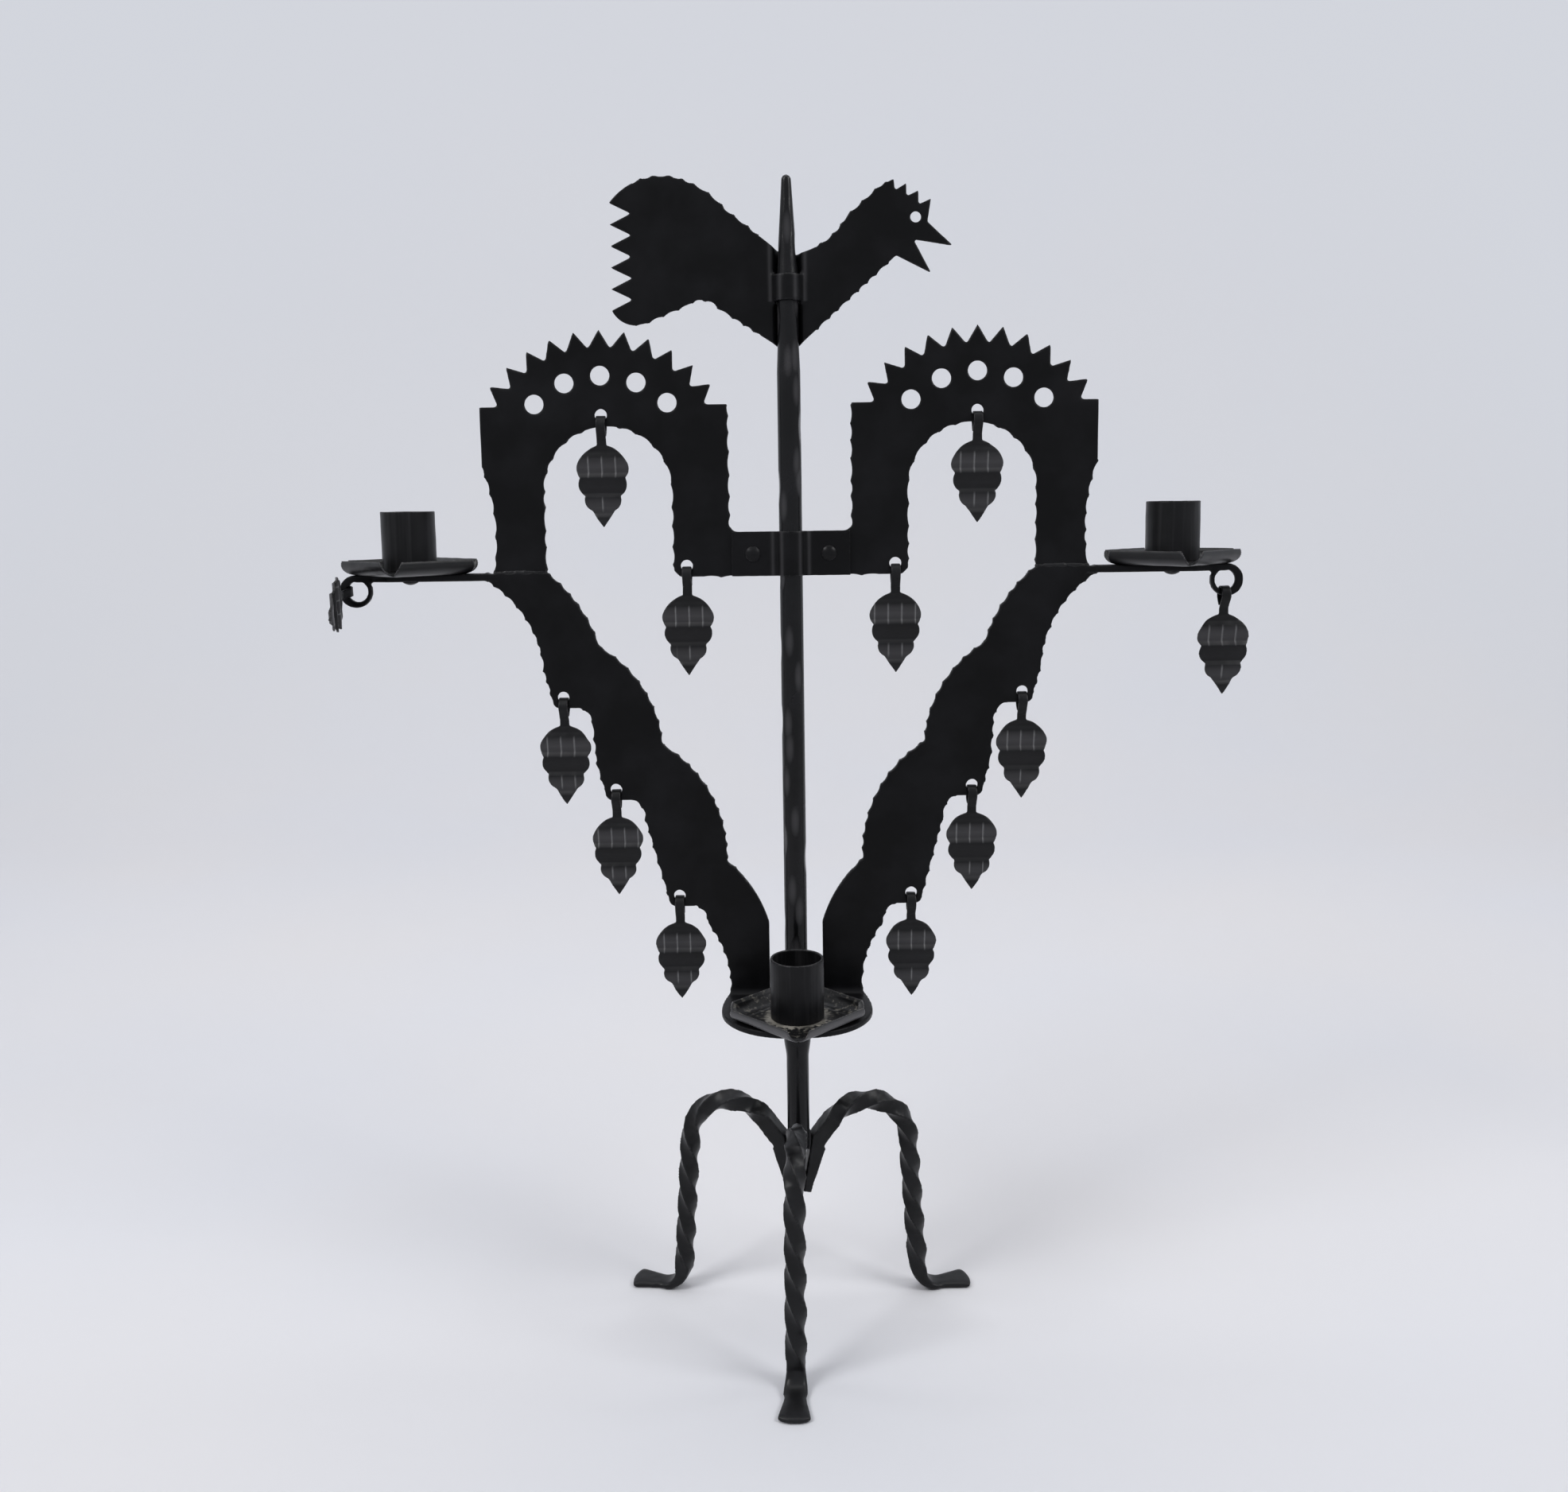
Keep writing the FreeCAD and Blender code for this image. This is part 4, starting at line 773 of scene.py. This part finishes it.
class CANDELABRA_OT_sheets(bpy.types.Operator):
    """Scallop the edges of the arches and the arms"""
    bl_idname = "candelabra.sheets"
    bl_label = "Arches and arms"

    def execute(self, context):
        forge = settings().forge
        pitches = {"arch": forge.arch_pitch, "arm": forge.edge_pitch}
        for seed, (kind, hand) in enumerate((k, h) for k in pitches for h in HANDS):
            node = "%s_%s" % (kind, hand)
            piece = worked_copy(node, SKIN_MM["sheet"], smooth=1)
            hammer_sheet(piece, node, seed + 1, plain_crown(), pitches[kind])
            finish_piece(piece, node, "stand", sheet_paint())
        return {"FINISHED"}


class CANDELABRA_OT_clamp(bpy.types.Operator):
    """Round the clamp straps and every rivet"""
    bl_idname = "candelabra.clamp"
    bl_label = "Straps and rivets"

    def execute(self, context):
        for node in ("strap_front", "strap_back", "strap_rivets", "pan_rivets"):
            rivets = node.endswith("rivets")
            piece = worked_copy(node, SKIN_MM["rivets" if rivets else "strap"], smooth=1)
            hammer(piece, lambda spot, normal: dimple(spot, *STRAP_BLOWS_MM))
            if node == "strap_front":
                # painted highlights along the strap's bends
                paint_bend_highlights(piece, lambda place: STRAP_BENDS_MM)
            material, slot = (rivet_paint(), "bar_paint") if rivets else (bent_paint(), "sheet_paint")
            finish_piece(piece, node, "stand", material)
        return {"FINISHED"}


class CANDELABRA_OT_welds(bpy.types.Operator):
    """Lay the weld beads under the arches and where the legs meet the stem"""
    bl_idname = "candelabra.welds"
    bl_label = "Welds"

    def execute(self, context):
        self.arch_welds()
        self.tail_weld()
        self.leg_welds()
        return {"FINISHED"}

    def arch_welds(self):
        """A bead where the outer foot of each arch stands on its arm."""
        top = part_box("arm_right")[1].z
        for hand in HANDS:
            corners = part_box("arch_" + hand)
            middle = abs(corners[0].x + corners[1].x) / 2
            points = frame["nodes"]["arch_" + hand].data.vertices
            level = [v.co.x for v in points if abs(v.co.z - top) < LEVEL_MM * MM]
            foot = [x for x in level if abs(x) > middle]
            low, high = min(foot), max(foot)
            count = int((high - low) / (WELD_STEP_MM * MM))
            path = [Vector((low + (high - low) * (k + 0.5) / count, 0, top)) for k in range(count)]
            weld_bead("weld_arch_" + hand, path, ARCH_WELD_MM)

    def tail_weld(self):
        """A bead between the tails of the legs, under the stem."""
        stem_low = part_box("stem")[0].z
        points = frame["nodes"]["leg_front"].data.vertices
        tail = min(v.co.z for v in points if v.co.xy.length < TAIL_REACH_MM * MM)
        path = [Vector((0, 0, tail + (stem_low - tail) * (k + 1) / (TAIL_BLOBS + 1)))
                for k in range(TAIL_BLOBS)]
        weld_bead("weld_tails", path, TAIL_WELD_MM)

    def leg_welds(self):
        """A bead up the stem on each side of each leg."""
        stem_low, leg_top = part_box("stem")[0].z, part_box("leg_front")[1].z
        rise = (leg_top - stem_low) * LEG_WELD_SHARE
        for place in PLACES:
            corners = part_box("leg_" + place)
            lean = (corners[0] + corners[1]) / 2
            for side, letter in ((-1, "a"), (1, "b")):
                turn = math.atan2(lean.y, lean.x) + side * LEG_WELD_TURN
                ring = Vector((math.cos(turn), math.sin(turn), 0)) * LEG_WELD_RADIUS_MM * MM
                path = [ring + Vector((0, 0, stem_low + rise * k / (LEG_BLOBS - 1)))
                        for k in range(LEG_BLOBS)]
                weld_bead("weld_leg_%s_%s" % (place, letter), path, LEG_WELD_MM)


class CANDELABRA_OT_pans(bpy.types.Operator):
    """Beat the candle pans and roll the sockets"""
    bl_idname = "candelabra.pans"
    bl_label = "Pans and sockets"

    def execute(self, context):
        for place in PLACES:
            for kind in ("pan", "socket"):
                node = "%s_%s" % (kind, place)
                piece = worked_copy(node, SKIN_MM[kind], smooth=1)
                swell = PAN_SWELL_MM if kind == "pan" else 0.0
                hammer(piece, lambda spot, normal: (
                    noise.noise(spot / PAN_WAVE_MM) * PAN_WAVE_DEPTH_MM + swell))
                if kind == "pan":
                    self.belly(piece, node)
                paint = {"pan_front": waxed_paint, "socket_" + place: socket_paint}.get(node, pan_paint)()
                finish_piece(piece, node, "stand", paint)
        return {"FINISHED"}

    def belly(self, piece, node):
        """Bend a pan's straight sides so that they rise slowly from the floor and steeply at the rim."""
        low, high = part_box(node)
        middle = (low + high) / 2
        foot, run = Vector(PAN_FOOT_MM), Vector(PAN_RUN_MM)
        up = run.normalized()
        for vertex in piece.data.vertices:
            off = (vertex.co - middle) / MM
            side = (abs(off.x) + abs(off.y)) / math.sqrt(2)
            from_foot = Vector((side, (vertex.co.z - low.z) / MM)) - foot
            share = from_foot.dot(up) / run.length
            if from_foot.x <= 0 or share <= 0:
                continue
            turn = math.pi / 2 * min(1.0, share)
            skin = from_foot.y * up.x - from_foot.x * up.y
            along = Vector((run.x * math.cos(turn), run.y * math.sin(turn))).normalized()
            bent = foot + Vector((run.x * math.sin(turn), run.y * (1 - math.cos(turn))))
            bent += Vector((-along.y, along.x)) * skin + along * max(0.0, share - 1) * run.length
            vertex.co.x = middle.x + off.x * bent.x / side * MM
            vertex.co.y = middle.y + off.y * bent.x / side * MM
            vertex.co.z = low.z + bent.y * MM
        piece.data.update()


class CANDELABRA_OT_rooster(bpy.types.Operator):
    """Scallop the rooster's outline"""
    bl_idname = "candelabra.rooster"
    bl_label = "Rooster"

    def execute(self, context):
        hinge = next(joint for joint in frame["joints"] if joint["child"] == "rooster")
        strip = Vector(hinge["pos_m"]) / MM
        burrs = [Vector((side * x, y, strip.z + share * STRIP_HALF_MM)) * MM
                 for side in (-1, 1) for x, y in SLIT_ENDS_MM for share in SLIT_SHARES]
        piece = worked_copy("rooster", SKIN_MM["rooster"], smooth=1, burrs=burrs)
        hammer_sheet(piece, "rooster", ROOSTER_SEED, plain_feathers(), settings().forge.edge_pitch)

        def bends(place):
            if abs(place.z - strip.z) < STRIP_HALF_MM:
                return STRIP_BENDS_MM
            return STRIP_BENDS_MM[1:] if place.z > strip.z else ()

        # painted highlights along the strip's bends, and along the outer bends of the sheet above it
        paint_bend_highlights(piece, bends)
        finish_piece(piece, "rooster", "rooster", bent_paint())
        return {"FINISHED"}


class CANDELABRA_OT_leaves(bpy.types.Operator):
    """Crimp the hanging leaves"""
    bl_idname = "candelabra.leaves"
    bl_label = "Leaves"

    def execute(self, context):
        hooks = {joint["child"]: Vector(joint["pos_m"]) for joint in frame["joints"]}
        for seed, (which, hand) in enumerate((w, h) for w in LEAVES for h in HANDS):
            node = "leaf_%s_%s" % (which, hand)
            piece = worked_copy(node, SKIN_MM["leaf"], smooth=1)
            shift = LEAF_SHIFT_MM * (seed + 1)
            hammer(piece, lambda spot, normal: (
                noise.noise((spot + shift) / LEAF_WAVE_MM) * LEAF_WAVE_DEPTH_MM))
            self.crimp(piece, hooks[node], noise.cell(shift / LEAF_DRAW_MM))
            finish_piece(piece, node, node, leaf_paint())
        return {"FINISHED"}

    def axes(self, piece, hook):
        """Down the blade, across it and out of its face, and how far its tip is from the hook."""
        tip = max((v.co for v in piece.data.vertices), key=lambda co: (co - hook).length)
        down = (tip - hook).normalized()
        face = down.cross(Vector((0, 0, 1)))
        face = face.normalized() if face.length > SIDEWAYS else Vector((0, -1, 0))
        return down, down.cross(face), face, (tip - hook).length

    def crimp(self, piece, hook, chance):
        """Turn the blade's even waves into broad bands that face down, and mark the painted highlights on
        the bands, and the veins.
        """
        down, across, face, reach = self.axes(piece, hook)
        spots = [v.co - hook for v in piece.data.vertices]
        blade = reach - LEAF_NECK_MM * MM
        rows = {}
        for spot in spots:
            rows.setdefault(round(spot.dot(down) / ROW_MM / MM), []).append(spot.dot(face))
        middle = {row: (min(offs) + max(offs)) / 2 for row, offs in rows.items()}
        half = max(abs(spot.dot(across)) for spot in spots)
        veins, band_highlights = [0.0] * len(spots), [0.0] * len(spots)
        for number, (vertex, spot) in enumerate(zip(piece.data.vertices, spots)):
            share = (spot.dot(down) - LEAF_NECK_MM * MM) / blade
            if share <= 0:
                continue
            at = spot.dot(down) / ROW_MM / MM
            row = math.floor(at)
            low = middle.get(row, 0.0)
            wave = low + (middle.get(row + 1, low) - low) * (at - row)
            band = (share * LEAF_BANDS + BAND_START) % 1
            tilt = band / BAND_LIT if band < BAND_LIT else (1 - band) / (1 - BAND_LIT)
            fade = min(1.0, share * LEAF_BANDS, (1 - share) * LEAF_BANDS)
            vertex.co += face * ((0.5 - tilt) * BAND_DEPTH_MM * MM - wave) * fade
            # painted highlight: each band is greyed most across its middle, most of all on the second and
            # fourth bands
            band_shine = BAND_HIGHLIGHT[min(int(share * LEAF_BANDS + BAND_START), len(BAND_HIGHLIGHT) - 1)]
            band_highlights[number] = band_shine * math.sin(math.pi * band) ** BAND_BREADTH
            aside = spot.dot(across) / half
            for low_share, high_share, limit in VEIN_BANDS:
                if low_share < share < high_share and abs(aside) < limit:
                    stray = abs((aside / VEIN_GAP + chance) % 1 - 0.5) * VEIN_GAP * half / MM
                    ends = min(share - low_share, high_share - share) / VEIN_FADE
                    veins[number] = max(0.0, 1 - stray / VEIN_WIDTH_MM) * min(1.0, ends)
        piece.data.update()
        mark_points(piece, VEIN_MARK, veins)
        mark_points(piece, HIGHLIGHT_MARK, band_highlights)


class CANDELABRA_OT_stage(bpy.types.Operator):
    """Set the pale floor, the soft lamps and the camera"""
    bl_idname = "candelabra.stage"
    bl_label = "Stage"

    def execute(self, context):
        scene = context.scene
        scene.view_settings.view_transform = "Standard"
        self.floor(scene)
        self.sky(scene)
        self.lamps(scene)
        self.camera(scene)
        return {"FINISHED"}

    def floor(self, scene):
        """One sheet of pale paper that runs back and curves up behind the object."""
        profile = [(-SWEEP_FRONT, 0.0), (SWEEP_BACK, 0.0)]
        for step in range(1, SWEEP_STEPS + 1):
            turn = math.pi / 2 * step / SWEEP_STEPS
            profile.append((SWEEP_BACK + SWEEP_BEND * math.sin(turn), SWEEP_BEND * (1 - math.cos(turn))))
        profile.append((WALL_Y, SWEEP_HEIGHT))
        paper = bmesh.new()
        rows = [[paper.verts.new((x, y, z)) for x in (-SWEEP_HALF, SWEEP_HALF)] for y, z in profile]
        for low, high in zip(rows, rows[1:]):
            paper.faces.new((low[0], low[1], high[1], high[0])).smooth = True
        mesh = bpy.data.meshes.new("floor")
        paper.to_mesh(mesh)
        paper.free()
        floor = bpy.data.objects.new("floor", mesh)
        scene.collection.objects.link(floor)
        mesh.materials.append(studio_paper())

    def sky(self, scene):
        """A dim pale sky, shown brighter than it lights."""
        world = bpy.data.worlds.new("studio")
        scene.world = world
        world.use_nodes = True
        tree = world.node_tree
        sky = tree.nodes["Background"]
        sky.inputs["Color"].default_value = linear(settings().colours.floor_cool)
        strength = add(tree, "MapRange", {
            "Value": seen_rays(tree), "To Min": SKY_LIGHT, "To Max": SKY_SEEN})
        tree.links.new(strength.outputs[0], sky.inputs["Strength"])

    def lamps(self, scene):
        """Broad soft lamps, three on the object and two on the paper behind it."""
        for name, place, target, (width, depth), power in LAMPS:
            lamp = bpy.data.lights.new(name, "AREA")
            lamp.shape, lamp.size, lamp.size_y, lamp.energy = "RECTANGLE", width, depth, power
            obj = bpy.data.objects.new(name, lamp)
            scene.collection.objects.link(obj)
            obj.location = place
            aim = Vector(target) - Vector(place)
            obj.rotation_euler = aim.to_track_quat("-Z", "Y").to_euler()

    def camera(self, scene):
        """The photograph's camera."""
        view = settings().view
        lens = bpy.data.cameras.new("camera")
        lens.sensor_width = SENSOR_MM
        lens.lens = view.focal / PHOTO_WIDTH * lens.sensor_width
        lens.shift_y = view.shift
        lens.clip_start = CLIP_START
        camera = bpy.data.objects.new("camera", lens)
        scene.collection.objects.link(camera)
        camera.location = (view.side, -view.distance, view.height)
        tilt = Euler((math.pi / 2 - view.pitch, 0, 0)).to_matrix()
        camera.rotation_euler = (tilt @ Matrix.Rotation(view.roll, 3, "Z")).to_euler()
        scene.camera = camera


OPERATORS = (
    CANDELABRA_OT_stem,
    CANDELABRA_OT_legs,
    CANDELABRA_OT_sheets,
    CANDELABRA_OT_clamp,
    CANDELABRA_OT_welds,
    CANDELABRA_OT_pans,
    CANDELABRA_OT_rooster,
    CANDELABRA_OT_leaves,
    CANDELABRA_OT_stage,
)


class CANDELABRA_PT_panel(bpy.types.Panel):
    """The settings, and buttons for each group of pieces"""
    bl_idname = "CANDELABRA_PT_panel"
    bl_label = "Candelabra"
    bl_space_type = "VIEW_3D"
    bl_region_type = "UI"
    bl_category = "Candelabra"

    def draw(self, context):
        for group in (settings().forge, settings().colours, settings().view):
            for name in group.bl_rna.properties.keys():
                if name not in ("rna_type", "name"):
                    self.layout.prop(group, name)
        for operator in OPERATORS:
            self.layout.operator(operator.bl_idname)


CLASSES = (ForgeSizes, PaintColours, ViewSettings, CandelabraSettings) + OPERATORS + (CANDELABRA_PT_panel,)


def register():
    for item in CLASSES:
        bpy.utils.register_class(item)
    bpy.types.Scene.candelabra = PointerProperty(type=CandelabraSettings)


def unregister():
    del bpy.types.Scene.candelabra
    for item in reversed(CLASSES):
        bpy.utils.unregister_class(item)


def main():
    register()
    for operator in OPERATORS:
        group, name = operator.bl_idname.split(".")
        getattr(getattr(bpy.ops, group), name)()


if __name__ == "__main__":
    main()
